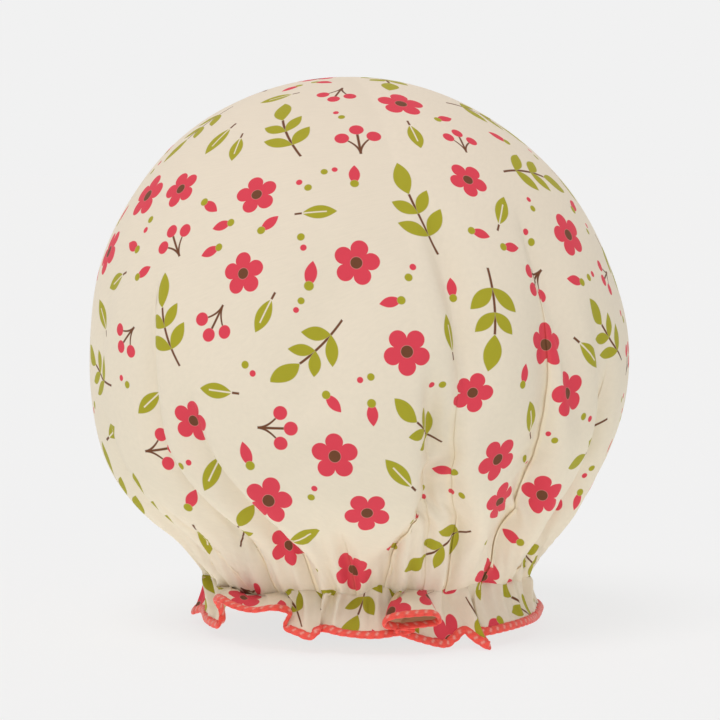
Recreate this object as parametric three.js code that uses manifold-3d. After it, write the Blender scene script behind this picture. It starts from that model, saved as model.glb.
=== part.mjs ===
// Shower cap: a puffed cloth crown over a waterproof lining, drawn in by an elastic that runs in a
// taped casing, with a gathered frill of the same cloth below it and an overlocked edge.
// Millimetres, +Z up, front towards -Y. The cap stands on the edge of its frill.
import * as THREE from 'three';
import Module from 'manifold-3d';
import { mergeVertices } from 'three/addons/utils/BufferGeometryUtils.js';

// Crown: its greatest width and depth, its heights above and below that widest level, and how far
// its top leans to the left of the casing. Its fullness is 2 for an ellipse below the widest level
// and more for a rounder swell above the casing.
const CROWN_WIDTH = 280;
const CROWN_DEPTH = 268;
const CROWN_RISE = 146;
const CROWN_TUCK = 107.5;
const CROWN_LEAN = 8;
const CROWN_FULLNESS = 2.2;

// The right side is drawn in and the left side let out, most at this height above the casing
const SIDE_DRAW = 4;
const SIDE_LEVEL = 50;
const SIDE_SPAN = 30;

// Casing: the short upright band at the gather, measured to the middle of the crown cloth
const CASING_WIDTH = 168;
const CASING_HEIGHT = 9;
const GATHER_DEPTH = 4;
const GATHER_SPREAD = 6.5;

// Frill below the casing: its drop, how far its edge stands out, and how deep its lobes wave
const FRILL_DROP = 23;
const FRILL_FLARE = 7;
const LOBE_DEPTH = 13;
const LOBE_LIFT = 3;

// Cloths and trimmings
const CLOTH_THICKNESS = 0.6;
const LINING_THICKNESS = 0.4;
const TAPE_THICKNESS = 0.4;
const ELASTIC_WIDTH = 5;
const ELASTIC_THICKNESS = 0.9;
const ELASTIC_LAP = 14;
const ELASTIC_RAMP = 26;
const THREAD_DIAMETER = 0.5;
const STITCH_ROW_INSET = 1;
const LINING_TUCK = 1.4;
const TACK_ZIGZAGS = 5;
const TACK_MARGIN = 0.8;

// Overlocked edge: how far it grips the frill, its thickness, and its thread below the cloth's edge
const HEM_GRIP = 3.2;
const HEM_WIDTH = 2.9;
const HEM_UNDER = 1;
const HEM_ROUND = 0.6;

// Gap left between sewn layers, and how deep the edge is pressed flat where the cap stands on it
const SEWN_GAP = 0.3;
const EDGE_GAP = 0.4;
const FLAT_CUT = 0.5;

// Folds of the front half: direction at the casing and at the fold's head (degrees from the front,
// positive to the right), the height within which the line turns from one to the other, the fold's
// rise above the casing and its depth, and how far it spreads to its left and right
const FRONT_FOLDS = [
  { foot: -76, head: -80, turn: 48, rise: 56, depth: 6, left: 9, right: 7 },
  { foot: -60, head: -68, turn: 76, rise: 90, depth: 8, left: 14, right: 7 },
  { foot: -46, head: -56, turn: 38, rise: 46, depth: 5, left: 8, right: 6 },
  { foot: -34, head: -48, turn: 80, rise: 165, depth: 10, left: 20, right: 6 },
  { foot: -18, head: -36, turn: 86, rise: 100, depth: 13, left: 22, right: 5 },
  { foot: 6, head: 10, turn: 48, rise: 54, depth: 7, left: 7, right: 8 },
  { foot: 19, head: 13, turn: 66, rise: 175, depth: 8, left: 12, right: 10 },
  { foot: 31, head: 20, turn: 66, rise: 146, depth: 9, left: 10, right: 6 },
  { foot: 47, head: 45, turn: 86, rise: 190, depth: 12, left: 24, right: 5 },
  { foot: 65, head: 67, turn: 56, rise: 116, depth: 10, left: 12, right: 8 },
  { foot: 84, head: 86, turn: 56, rise: 56, depth: 7, left: 8, right: 8 },
];

// Folds of the back half: a count, and waves that vary their places, rises, depths and spreads
const BACK_FOLDS = 11;
const BACK_SWAY = 2.5;
const BACK_LEAN = 7;
const BACK_TURN = 56;
const BACK_RISE = 98;
const BACK_RISE_WAVE = 48;
const BACK_DEPTH = 9;
const BACK_DEPTH_WAVE = 3;
const BACK_LEFT = 12;
const BACK_LEFT_WAVE = 5;
const BACK_RIGHT = 9;
const BACK_RIGHT_WAVE = 3;
const SWAY_STEP = 2.4;
const LEAN_STEP = 3.7;
const RISE_STEP = 2.1;
const DEPTH_STEP = 4.4;
const SPREAD_STEP = 1;

// A fold opens from the gather's depth and spread to its own within this height above the casing.
// The powers say how its depth fades towards its rise and how its two sides fall away.
const PINCH_HEIGHT = 26;
const FADE_POWER = 1.5;
const SIDE_POWER = 1.6;

// Facets: columns to each fold, rows of the crown above and below its widest level and of the frill,
// sides and steps of a thread, and the share of a column over which the frill's slope is taken.
// The columns follow the folds up to one height above the casing and are even from another.
const FOLD_COLUMNS = 4;
const FOLD_COLUMNS_ABOVE = 2;
const FOLD_COLUMNS_TOP = 1;
const UPPER_ROWS = 5;
const TOP_ROWS = 3;
const LOWER_ROWS = 4;
const FOLLOW_HEIGHT = 60;
const EVEN_HEIGHT = 150;
const FRILL_ROWS = 3;
const ELASTIC_STEPS = 72;
const THREAD_SIDES = 5;
const TACK_STEPS = 6;
const SLOPE_SHARE = 12;

// Colours and finishes
const PRINT_CLOTH = { color: 0xeee3cf, roughness: 0.75, metalness: 0 };
const LINING_FILM = { color: 0xe9e6dc, roughness: 0.35, metalness: 0 };
const CREAM_TAPE = { color: 0xe4d9c0, roughness: 0.8, metalness: 0 };
const WHITE_ELASTIC = { color: 0xf2efe8, roughness: 0.7, metalness: 0 };
const CREAM_THREAD = { color: 0xf0e6d2, roughness: 0.6, metalness: 0 };
const CORAL_THREAD = { color: 0xe8503f, roughness: 0.6, metalness: 0 };

// Values worked out from the driving dimensions
const FULL_TURN = 2 * Math.PI;
const DEGREES_ROUND = 360;
const PLAN_RATIO = CROWN_DEPTH / CROWN_WIDTH;
const crownRadius = CROWN_WIDTH / 2;
const casingRadius = CASING_WIDTH / 2;
const casingBottom = FRILL_DROP;
const casingTop = casingBottom + CASING_HEIGHT;
const casingMiddle = casingBottom + CASING_HEIGHT / 2;
const widestLevel = casingTop + CROWN_TUCK;
const lowerPower = 2 / CROWN_FULLNESS;
const gatherAngle = Math.PI - Math.asin((casingRadius / crownRadius) ** (1 / lowerPower));
const lowerReach = CROWN_TUCK / (-Math.cos(gatherAngle)) ** lowerPower;
const threadRadius = THREAD_DIAMETER / 2;

const folds = FRONT_FOLDS.concat(backFolds());
const COLUMNS = FOLD_COLUMNS * folds.length;

/** Folds of the back, evenly spaced between the last and first folds of the front, then varied. */
function backFolds() {
  const start = FRONT_FOLDS[FRONT_FOLDS.length - 1].foot;
  const stop = FRONT_FOLDS[0].foot + DEGREES_ROUND;
  const pitch = (stop - start) / (BACK_FOLDS + 1);
  return Array.from({ length: BACK_FOLDS }, (_, place) => {
    const foot = start + pitch * (place + 1) + BACK_SWAY * Math.sin(SWAY_STEP * place);
    return {
      foot,
      head: foot + BACK_LEAN * Math.sin(LEAN_STEP * place),
      turn: BACK_TURN,
      rise: BACK_RISE + BACK_RISE_WAVE * Math.sin(RISE_STEP * place),
      depth: BACK_DEPTH + BACK_DEPTH_WAVE * Math.sin(DEPTH_STEP * place),
      left: BACK_LEFT + BACK_LEFT_WAVE * Math.sin(SPREAD_STEP * place),
      right: BACK_RIGHT - BACK_RIGHT_WAVE * Math.sin(SPREAD_STEP * place),
    };
  });
}

function smoothStep(low, high, value) {
  const share = Math.min(Math.max((value - low) / (high - low), 0), 1);
  return share * share * (3 - 2 * share);
}

function mix(start, end, share) {
  return start + (end - start) * share;
}

/** Point at an azimuth from the front, on the oval and leaning plan that all the layers share. */
function planPoint(azimuth, radius, height) {
  const lean = (CROWN_LEAN * Math.max(height - casingTop, 0)) / (CROWN_TUCK + CROWN_RISE);
  return new THREE.Vector3(
    radius * Math.sin(azimuth) - lean,
    -radius * PLAN_RATIO * Math.cos(azimuth),
    height,
  );
}

/** Direction of a fold's line at a height above the casing, in degrees. */
function foldLine(fold, above) {
  return mix(fold.foot, fold.head, smoothStep(0, fold.turn, above));
}

/** How far the sides and the folds draw the cloth in at an azimuth, a height above the casing and a radius. */
function foldInset(azimuth, above, radius) {
  const height = Math.max(above, 0);
  const opened = smoothStep(0, PINCH_HEIGHT, height);
  const level = (height - SIDE_LEVEL) / SIDE_SPAN;
  let inset = SIDE_DRAW * opened * Math.sin(azimuth) * Math.exp(-level * level);
  for (const fold of folds) {
    const turn = azimuth - THREE.MathUtils.degToRad(foldLine(fold, height));
    const away = Math.atan2(Math.sin(turn), Math.cos(turn)) * radius;
    const spread = mix(GATHER_SPREAD, away < 0 ? fold.left : fold.right, opened);
    const fade = 1 - Math.min(height / fold.rise, 1) ** FADE_POWER;
    const depth = mix(GATHER_DEPTH, fold.depth, opened) * fade;
    inset += depth * Math.exp(-(Math.abs(away / spread) ** SIDE_POWER));
  }
  return inset;
}

/** Share of the gather's depth at an azimuth, from 0 on a lobe to 1 in a pinch. */
function pinchShare(azimuth) {
  return foldInset(azimuth, 0, casingRadius) / GATHER_DEPTH;
}

/**
 * Crown profile at an angle from the top: a quarter of an ellipse above the widest level, and below
 * it part of a fuller curve whose two shares, each to the power of the fullness, add up to one.
 */
function crownProfile(angle) {
  const above = angle <= Math.PI / 2;
  const reach = above ? CROWN_RISE : -lowerReach;
  const power = above ? 1 : lowerPower;
  const across = Math.sin(angle);
  const along = Math.abs(Math.cos(angle));
  const normal = new THREE.Vector2(across ** (2 - power) / crownRadius, along ** (2 - power) / reach);
  return {
    radius: crownRadius * across ** power,
    height: widestLevel + reach * along ** power,
    normal: normal.normalize(),
  };
}

/** Point of a layer that follows the crown cloth, set off from its middle along the profile's normal. */
function layerPoint(azimuth, profile, offset) {
  const shift = offset - foldInset(azimuth, profile.height - casingTop, profile.radius);
  return planPoint(
    azimuth,
    profile.radius + profile.normal.x * shift,
    profile.height + profile.normal.y * shift,
  );
}

/** Profile in the casing, where the cloth runs straight down. */
function casingProfile(height) {
  return { radius: casingRadius, height, normal: new THREE.Vector2(1, 0) };
}

function azimuthAt(column, columns) {
  return (FULL_TURN * column) / columns;
}

/** Where a fold's column stands: on the fold's line low down, and at an even step near the top. */
function columnLine(place, above) {
  const round = place < folds.length ? 0 : DEGREES_ROUND;
  const line = foldLine(folds[place % folds.length], above) + round;
  const even = folds[0].foot + (DEGREES_ROUND * place) / folds.length;
  return mix(line, even, smoothStep(FOLLOW_HEIGHT, EVEN_HEIGHT, above));
}

/** Ring of points whose columns divide the spaces between the folds, at a height above the casing. */
function ring(foldColumns, place, above = 0) {
  return Array.from({ length: foldColumns * folds.length }, (_, column) => {
    const fold = Math.floor(column / foldColumns);
    const share = (column % foldColumns) / foldColumns;
    return place(THREE.MathUtils.degToRad(
      mix(columnLine(fold, above), columnLine(fold + 1, above), share)));
  });
}

/** Triangles between two rings, the lower one with as many points or with twice as many. */
function stitchRings(upper, lower) {
  const triangles = [];
  const count = upper.length;
  for (let column = 0; column < count; column += 1) {
    const next = (column + 1) % count;
    if (lower.length === count) {
      triangles.push([upper[column], lower[column], lower[next]]);
      triangles.push([upper[column], lower[next], upper[next]]);
    } else {
      const left = lower[2 * column];
      const middle = lower[2 * column + 1];
      const right = lower[2 * next];
      triangles.push([upper[column], left, middle]);
      triangles.push([upper[column], middle, upper[next]]);
      triangles.push([upper[next], middle, right]);
    }
  }
  return triangles;
}

/** Indexed geometry of a closed body, turned to face out. */
function closedBody(points, triangles) {
  let volume = 0;
  for (const [a, b, c] of triangles) {
    volume += points[a].dot(points[b].clone().cross(points[c]));
  }
  const faces = volume > 0 ? triangles : triangles.map(([a, b, c]) => [a, c, b]);
  const geometry = new THREE.BufferGeometry();
  geometry.setAttribute('position', new THREE.Float32BufferAttribute(points.flatMap((p) => p.toArray()), 3));
  geometry.setIndex(faces.flat());
  return geometry;
}

/**
 * Cloth with two faces. Each row holds matching rings of outer and inner points. A pole, where
 * there is one, closes the first row, and every other free edge gets a rim.
 */
function clothBody(rows, pole) {
  const points = [];
  const indexed = (vectors) => vectors.map((vector) => points.push(vector) - 1);
  const outer = rows.map((row) => indexed(row.outer));
  const inner = rows.map((row) => indexed(row.inner));
  const triangles = [];
  const turned = (list) => list.map(([a, b, c]) => [a, c, b]);
  for (let row = 1; row < rows.length; row += 1) {
    triangles.push(...stitchRings(outer[row - 1], outer[row]));
    triangles.push(...turned(stitchRings(inner[row - 1], inner[row])));
  }
  triangles.push(...stitchRings(outer[rows.length - 1], inner[rows.length - 1]));
  if (pole) {
    const [top, under] = indexed([pole.outer, pole.inner]);
    const count = outer[0].length;
    for (let column = 0; column < count; column += 1) {
      const next = (column + 1) % count;
      triangles.push([top, outer[0][column], outer[0][next]]);
      triangles.push([under, inner[0][next], inner[0][column]]);
    }
  } else {
    triangles.push(...turned(stitchRings(outer[0], inner[0])));
  }
  return closedBody(points, triangles);
}

/**
 * Closed section carried round the mouth. The section at a column is a loop of points, and drops
 * says how far down the section each point lies, so that every wall is split the same way.
 */
function sweptBody(sections, drops, open) {
  const points = sections.flat();
  const sides = drops.length;
  const spans = open ? sections.length - 1 : sections.length;
  const triangles = [];
  for (let column = 0; column < spans; column += 1) {
    const next = (column + 1) % sections.length;
    for (let side = 0; side < sides; side += 1) {
      const other = (side + 1) % sides;
      const a = column * sides + side;
      const b = column * sides + other;
      const c = next * sides + other;
      const d = next * sides + side;
      if (drops[side] <= drops[other]) {
        triangles.push([a, b, c], [a, c, d]);
      } else {
        triangles.push([a, b, d], [b, c, d]);
      }
    }
  }
  if (open) {
    const last = (sections.length - 1) * sides;
    for (let side = 1; side < sides - 1; side += 1) {
      triangles.push([0, side + 1, side], [last, last + side, last + side + 1]);
    }
  }
  return closedBody(points, triangles);
}

/** Rows of a layer that follows the crown, from the first ring below the top down to the casing. */
function crownLayer(offset, thickness, edgeHeight) {
  const face = (side) => offset + (side * thickness) / 2;
  const rows = [];
  const addRow = (foldColumns, profile) => {
    const above = Math.max(profile.height - casingTop, 0);
    rows.push({
      outer: ring(foldColumns, (azimuth) => layerPoint(azimuth, profile, face(1)), above),
      inner: ring(foldColumns, (azimuth) => layerPoint(azimuth, profile, face(-1)), above),
    });
  };
  const quarter = Math.PI / 2;
  for (let row = 1; row <= UPPER_ROWS; row += 1) {
    const foldColumns = row <= TOP_ROWS ? FOLD_COLUMNS_TOP : FOLD_COLUMNS_ABOVE;
    addRow(foldColumns, crownProfile((quarter * row) / UPPER_ROWS));
  }
  for (let row = 1; row < LOWER_ROWS; row += 1) {
    addRow(FOLD_COLUMNS, crownProfile(mix(quarter, gatherAngle, row / LOWER_ROWS)));
  }
  addRow(FOLD_COLUMNS, casingProfile(casingTop));
  addRow(FOLD_COLUMNS, casingProfile(edgeHeight));
  const pole = {
    outer: layerPoint(0, crownProfile(0), face(1)),
    inner: layerPoint(0, crownProfile(0), face(-1)),
  };
  return clothBody(rows, pole);
}

// Layers counted inwards from the middle of the crown cloth
const liningOffset = -(CLOTH_THICKNESS / 2 + SEWN_GAP + LINING_THICKNESS / 2);
const tapeTopOffset = liningOffset - LINING_THICKNESS / 2 - SEWN_GAP - TAPE_THICKNESS / 2;
const tapeBottomOffset = -(CLOTH_THICKNESS / 2 + SEWN_GAP + TAPE_THICKNESS / 2);
const deepestGather = Math.max(...ring(FOLD_COLUMNS, (azimuth) => foldInset(azimuth, 0, casingRadius)));
const elasticFace = casingRadius - deepestGather - CLOTH_THICKNESS / 2 - SEWN_GAP;
const lapStep = ELASTIC_THICKNESS + SEWN_GAP;
const tackRadius = elasticFace - ELASTIC_THICKNESS - lapStep - SEWN_GAP - threadRadius;
const tapeFace = tackRadius - threadRadius - SEWN_GAP;

function crown() {
  return crownLayer(0, CLOTH_THICKNESS, casingBottom);
}

function lining() {
  return crownLayer(liningOffset, LINING_THICKNESS, casingTop - LINING_TUCK);
}

/** Middle of the frill cloth at an azimuth and a share of its length below the casing. */
function frillPoint(azimuth, share) {
  const pinch = pinchShare(azimuth);
  const wave = mix(GATHER_DEPTH, LOBE_DEPTH, share) / 2;
  const radius = casingRadius - GATHER_DEPTH / 2 + FRILL_FLARE * share + wave * (1 - 2 * pinch);
  const lift = LOBE_LIFT * share * share * (1 - pinch);
  return planPoint(azimuth, radius, casingBottom - EDGE_GAP - FRILL_DROP * share + lift);
}

/** Unit direction down the frill and its outward normal at a point of its middle. */
function frillFrame(azimuth, share) {
  const step = FULL_TURN / COLUMNS / SLOPE_SHARE;
  const reach = HEM_GRIP / FRILL_DROP;
  const above = Math.max(share - reach, 0);
  const down = frillPoint(azimuth, above + reach).sub(frillPoint(azimuth, above)).normalize();
  const along = frillPoint(azimuth + step, share).sub(frillPoint(azimuth - step, share));
  const normal = down.clone().cross(along).normalize();
  return { down, normal };
}

function frill() {
  const gripShare = 1 - HEM_GRIP / FRILL_DROP;
  const shares = Array.from({ length: FRILL_ROWS + 1 }, (_, row) => (gripShare * row) / FRILL_ROWS);
  shares.push(1);
  const face = (share, side) => ring(FOLD_COLUMNS, (azimuth) => {
    const { normal } = frillFrame(azimuth, share);
    return frillPoint(azimuth, share).addScaledVector(normal, (side * CLOTH_THICKNESS) / 2);
  });
  return clothBody(shares.map((share) => ({ outer: face(share, 1), inner: face(share, -1) })));
}

/** Overlocked edge: a channel of thread folded round the edge of the frill. */
function hemOverlock() {
  const slot = CLOTH_THICKNESS / 2 + SEWN_GAP;
  const half = HEM_WIDTH / 2;
  const base = SEWN_GAP + HEM_UNDER;
  const outline = [
    [half, -HEM_GRIP],
    [half, base - HEM_ROUND],
    [half - HEM_ROUND, base],
    [HEM_ROUND - half, base],
    [-half, base - HEM_ROUND],
    [-half, -HEM_GRIP],
    [-slot, -HEM_GRIP],
    [-slot, SEWN_GAP],
    [slot, SEWN_GAP],
    [slot, -HEM_GRIP],
  ];
  const sections = ring(FOLD_COLUMNS, (azimuth) => {
    const { down, normal } = frillFrame(azimuth, 1);
    const edge = frillPoint(azimuth, 1);
    return outline.map(([out, drop]) => (
      edge.clone().addScaledVector(normal, out).addScaledVector(down, drop)));
  });
  return sweptBody(sections, outline.map(([, drop]) => drop), false);
}

/** Needle thread of one stitch row, lying on the outside of the casing. */
function stitchRow(height) {
  const centre = CLOTH_THICKNESS / 2 + SEWN_GAP + threadRadius;
  const turns = Array.from({ length: THREAD_SIDES }, (_, side) => azimuthAt(side, THREAD_SIDES));
  const sections = ring(FOLD_COLUMNS, (azimuth) => turns.map((turn) => layerPoint(
    azimuth,
    casingProfile(height + threadRadius * Math.sin(turn)),
    centre + threadRadius * Math.cos(turn),
  )));
  return sweptBody(sections, turns.map((turn) => -Math.sin(turn)), false);
}

/** Casing tape: its edges follow the gathered cloth and its middle runs smoothly inside the elastic. */
function casingTape() {
  const room = ELASTIC_WIDTH / 2 + SEWN_GAP;
  const rows = [
    { height: casingTop, offset: tapeTopOffset },
    { height: casingMiddle + room, radius: tapeFace - TAPE_THICKNESS / 2 },
    { height: casingMiddle - room, radius: tapeFace - TAPE_THICKNESS / 2 },
    { height: casingBottom, offset: tapeBottomOffset },
  ];
  const place = (azimuth, row, side) => {
    const half = (side * TAPE_THICKNESS) / 2;
    if (row.radius) {
      return planPoint(azimuth, row.radius + half, row.height);
    }
    return layerPoint(azimuth, casingProfile(row.height), row.offset + half);
  };
  const sections = ring(FOLD_COLUMNS, (azimuth) => [
    ...rows.map((row) => place(azimuth, row, 1)),
    ...rows.toReversed().map((row) => place(azimuth, row, -1)),
  ]);
  const drops = [...rows, ...rows.toReversed()].map((row) => -row.height);
  return sweptBody(sections, drops, false);
}

/** Radius of the elastic's outer face at an angle along it: its last stretch dips inside its start. */
function elasticRadius(angle) {
  const ramp = ELASTIC_RAMP / elasticFace;
  return elasticFace - lapStep * smoothStep(FULL_TURN - ramp, FULL_TURN, angle);
}

/** Elastic: one flat strip that goes once round from the back and laps over its own start. */
function elasticBand() {
  const whole = FULL_TURN + ELASTIC_LAP / elasticFace;
  const half = ELASTIC_WIDTH / 2;
  const sections = Array.from({ length: ELASTIC_STEPS + 1 }, (_, step) => {
    const angle = (whole * step) / ELASTIC_STEPS;
    const azimuth = Math.PI + angle;
    const outer = elasticRadius(angle);
    const inner = outer - ELASTIC_THICKNESS;
    return [
      planPoint(azimuth, outer, casingMiddle + half),
      planPoint(azimuth, outer, casingMiddle - half),
      planPoint(azimuth, inner, casingMiddle - half),
      planPoint(azimuth, inner, casingMiddle + half),
    ];
  });
  return sweptBody(sections, [-half, half, half, -half], true);
}

/** Zigzag of thread across the lapped ends of the elastic, on its inner face. */
function elasticTack() {
  const reach = ELASTIC_WIDTH / 2 - TACK_MARGIN;
  const count = 2 * TACK_ZIGZAGS;
  const length = ELASTIC_LAP - 2 * TACK_MARGIN;
  const corners = Array.from({ length: count + 1 }, (_, corner) => {
    const run = TACK_MARGIN + (length * corner) / count;
    const height = casingMiddle + (corner % 2 ? reach : -reach);
    return planPoint(Math.PI + run / elasticFace, tackRadius, height);
  });
  const turns = Array.from({ length: THREAD_SIDES }, (_, side) => azimuthAt(side, THREAD_SIDES));
  const section = new THREE.Shape(turns.map((turn) => (
    new THREE.Vector2(threadRadius * Math.cos(turn), threadRadius * Math.sin(turn)))));
  const path = new THREE.CatmullRomCurve3(corners, false, 'centripetal');
  const geometry = new THREE.ExtrudeGeometry(section, { steps: count * TACK_STEPS, extrudePath: path });
  geometry.deleteAttribute('normal');
  geometry.deleteAttribute('uv');
  return mergeVertices(geometry);
}

const wasm = await Module();
wasm.setup();

function solidOf(geometry) {
  return new wasm.Manifold(new wasm.Mesh({
    numProp: 3,
    vertProperties: new Float32Array(geometry.attributes.position.array),
    triVerts: new Uint32Array(geometry.index.array),
  }));
}

function geometryOf(solid) {
  const mesh = solid.getMesh();
  const geometry = new THREE.BufferGeometry();
  geometry.setAttribute('position', new THREE.BufferAttribute(new Float32Array(mesh.vertProperties), 3));
  geometry.setIndex(Array.from(mesh.triVerts));
  return geometry;
}

/** The edge pressed flat at a level, so that the cap stands on true flat faces. */
function pressedFlat(geometry, level) {
  geometry.computeBoundingBox();
  const { min, max } = geometry.boundingBox;
  const deep = level - min.z + FLAT_CUT;
  const block = new THREE.BoxGeometry(max.x - min.x + CROWN_WIDTH, max.y - min.y + CROWN_DEPTH, deep);
  block.translate(0, 0, level - deep / 2);
  block.deleteAttribute('normal');
  block.deleteAttribute('uv');
  return geometryOf(solidOf(geometry).subtract(solidOf(mergeVertices(block))));
}

const cap = new THREE.Group();

function addPiece(name, geometry, finish) {
  const mesh = new THREE.Mesh(geometry, new THREE.MeshStandardMaterial(finish));
  mesh.name = name;
  cap.add(mesh);
}

const edge = hemOverlock();
edge.computeBoundingBox();
const standingLevel = edge.boundingBox.min.z + FLAT_CUT;

addPiece('crown', crown(), PRINT_CLOTH);
addPiece('frill', frill(), PRINT_CLOTH);
addPiece('lining', lining(), LINING_FILM);
addPiece('casing_tape', casingTape(), CREAM_TAPE);
addPiece('elastic_band', elasticBand(), WHITE_ELASTIC);
addPiece('elastic_tack', elasticTack(), CREAM_THREAD);
addPiece('stitch_row_upper', stitchRow(casingTop - STITCH_ROW_INSET), CREAM_THREAD);
addPiece('stitch_row_lower', stitchRow(casingBottom + STITCH_ROW_INSET), CREAM_THREAD);
addPiece('hem_overlock', pressedFlat(edge, standingLevel), CORAL_THREAD);

// The origin is under the middle of the cap, on the surface that it stands on
const middle = new THREE.Box3().setFromObject(cap).getCenter(new THREE.Vector3());
cap.position.set(-middle.x, -middle.y, -standingLevel);

export default cap;
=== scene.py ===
import math
from collections import namedtuple

import bmesh
import bpy
import numpy as np
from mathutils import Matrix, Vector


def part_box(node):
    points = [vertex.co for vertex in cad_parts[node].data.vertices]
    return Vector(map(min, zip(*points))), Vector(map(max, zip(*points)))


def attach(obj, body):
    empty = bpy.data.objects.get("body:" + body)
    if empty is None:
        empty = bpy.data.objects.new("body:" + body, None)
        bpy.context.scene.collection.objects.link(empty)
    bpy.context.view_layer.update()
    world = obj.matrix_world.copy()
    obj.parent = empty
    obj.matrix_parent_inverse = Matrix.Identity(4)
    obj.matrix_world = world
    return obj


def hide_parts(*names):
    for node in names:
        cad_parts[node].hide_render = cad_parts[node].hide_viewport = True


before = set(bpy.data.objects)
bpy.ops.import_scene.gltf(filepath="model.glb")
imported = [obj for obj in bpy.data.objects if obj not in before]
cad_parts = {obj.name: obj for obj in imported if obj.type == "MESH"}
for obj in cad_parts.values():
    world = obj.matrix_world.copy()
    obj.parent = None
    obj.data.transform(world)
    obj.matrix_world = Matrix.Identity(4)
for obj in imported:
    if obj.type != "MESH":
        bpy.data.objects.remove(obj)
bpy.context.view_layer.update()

# Crown shape
# The crown is one round piece of printed cotton, gathered at its rim into the casing and puffed out over the
# hair. Its folds start at the gathers, run up the sides and fade out, and the top stays smooth.
crown_low, crown_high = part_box("crown")
tape_low, tape_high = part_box("casing_tape")
CASING_TOP = tape_high.z
CASING_BOTTOM = tape_low.z
NECK = (CASING_TOP + CASING_BOTTOM) / 2
NECK_SHIFT = 0.001
CASING_MIDDLE_X = (tape_low.x + tape_high.x) / 2 + NECK_SHIFT
CASING_RADIUS = 0.084
CROWN_RADIUS = (crown_high.x - crown_low.x) / 2
CROWN_TUCK = 0.112
CROWN_RISE = crown_high.z - NECK - CROWN_TUCK
CROWN_LEAN = 0.010
PLAN_RATIO = (crown_high.y - crown_low.y) / (crown_high.x - crown_low.x)
SOFT_COLUMNS = 480
CROWN_ROWS = 84
POLE_ANGLE = 0.03
ROW_CROWDING = 0.35
FULL_TURN = 2 * math.pi

# A fold line starts at its foot on the neck and ends under its head, both in degrees from the front.
# It turns within one height and fades out at another; depth, the soft widths to its left and right,
# and the cloth tucked under its right-hand panel follow.
Fold = namedtuple("Fold", "foot head turn rise depth left right tuck")
FRONT_FOLDS = [
    Fold(-76, -80, 0.048, 0.060, 0.006, 0.009, 0.007, 0.0018),
    Fold(-60, -68, 0.080, 0.095, 0.008, 0.014, 0.007, 0.0028),
    Fold(-46, -56, 0.042, 0.050, 0.005, 0.008, 0.006, 0.0016),
    Fold(-34, -48, 0.085, 0.170, 0.011, 0.018, 0.006, 0.0060),
    Fold(-18, -36, 0.090, 0.105, 0.013, 0.022, 0.005, 0.0080),
    Fold(-4, -6, 0.030, 0.034, 0.005, 0.007, 0.006, 0.0020),
    Fold(6, 15, 0.052, 0.066, 0.010, 0.006, 0.013, 0.0022),
    Fold(20, 15, 0.070, 0.125, 0.008, 0.007, 0.011, 0.0004),
    Fold(30, 21, 0.070, 0.146, 0.010, 0.009, 0.006, 0.0012),
    Fold(47, 45, 0.090, 0.195, 0.013, 0.020, 0.006, 0.0032),
    Fold(65, 67, 0.060, 0.130, 0.011, 0.010, 0.008, 0.0018),
    Fold(84, 86, 0.060, 0.060, 0.007, 0.008, 0.008, 0.0018),
]
BACK_FOLDS = 11
BACK_FOLD_TURN = 0.060

# A size that differs from one fold to the next: its mean, how far and how fast it swings, and its start.
Sway = namedtuple("Sway", "mean swing pace start", defaults=[0])
FOLD_SWAYS = {
    "shift": Sway(0, 2.5, 2.4),
    "lean": Sway(0, 7, 3.7),
    "rise": Sway(0.102, 0.048, 2.1),
    "depth": Sway(0.009, 0.003, 4.4),
    "left": Sway(0.012, 0.005, 1),
    "right": Sway(0.009, -0.003, 1),
    "tuck": Sway(0.0032, 0.0014, 1.7),
}


def swayed(sways, number):
    """The sizes of one in a row of like things: a mean plus a swing times a sine of the thing's number."""
    return {name: sway.mean + sway.swing * math.sin(sway.pace * number + sway.start)
            for name, sway in sways.items()}


def back_folds():
    """Folds spread evenly from the last front fold round the back to the first, each swayed by its number."""
    start = FRONT_FOLDS[-1].foot
    stop = FRONT_FOLDS[0].foot + 360
    made = []
    for k in range(BACK_FOLDS):
        size = swayed(FOLD_SWAYS, k)
        foot = start + (stop - start) * (k + 1) / (BACK_FOLDS + 1) + size["shift"]
        made.append(Fold(foot, foot + size["lean"], BACK_FOLD_TURN, size["rise"], size["depth"],
                         size["left"], size["right"], size["tuck"]))
    return made


FOLDS = FRONT_FOLDS + back_folds()

# A soft hollow lies between two places, each given in degrees from the front and as a height above the neck.
# Its depth and its widths to the left and right follow.
Hollow = namedtuple("Hollow", "foot low head high depth left right")
FRONT_HOLLOWS = [
    Hollow(-74, 0.100, -66, 0.165, 0.0030, 0.014, 0.010),
    Hollow(-30, 0.120, -34, 0.190, 0.0020, 0.018, 0.014),
    Hollow(-22, 0.060, -5, 0.084, 0.0030, 0.012, 0.012),
    Hollow(-11, 0.090, -3, 0.172, 0.0048, 0.018, 0.020),
    Hollow(17, 0.036, 15, 0.110, 0.0095, 0.005, 0.011),
    Hollow(25, 0.084, 19, 0.190, 0.0080, 0.006, 0.012),
    Hollow(51, 0.086, 46, 0.182, 0.0085, 0.005, 0.013),
    Hollow(66, 0.070, 61, 0.140, 0.0050, 0.007, 0.010),
]
BACK_HOLLOWS = 8
BACK_START = 90
BACK_SPAN = 180
BACK_HOLLOW_LEFT = 0.011
BACK_HOLLOW_RIGHT = 0.009
HOLLOW_SWAYS = {
    "shift": Sway(0, 4, 2.6),
    "lean": Sway(0, 6, 1.9, 1),
    "low": Sway(0.090, 0.015, 3.1),
    "height": Sway(0.070, 0.020, 1.3),
    "depth": Sway(0.0036, 0.0014, 2.2),
}


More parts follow.
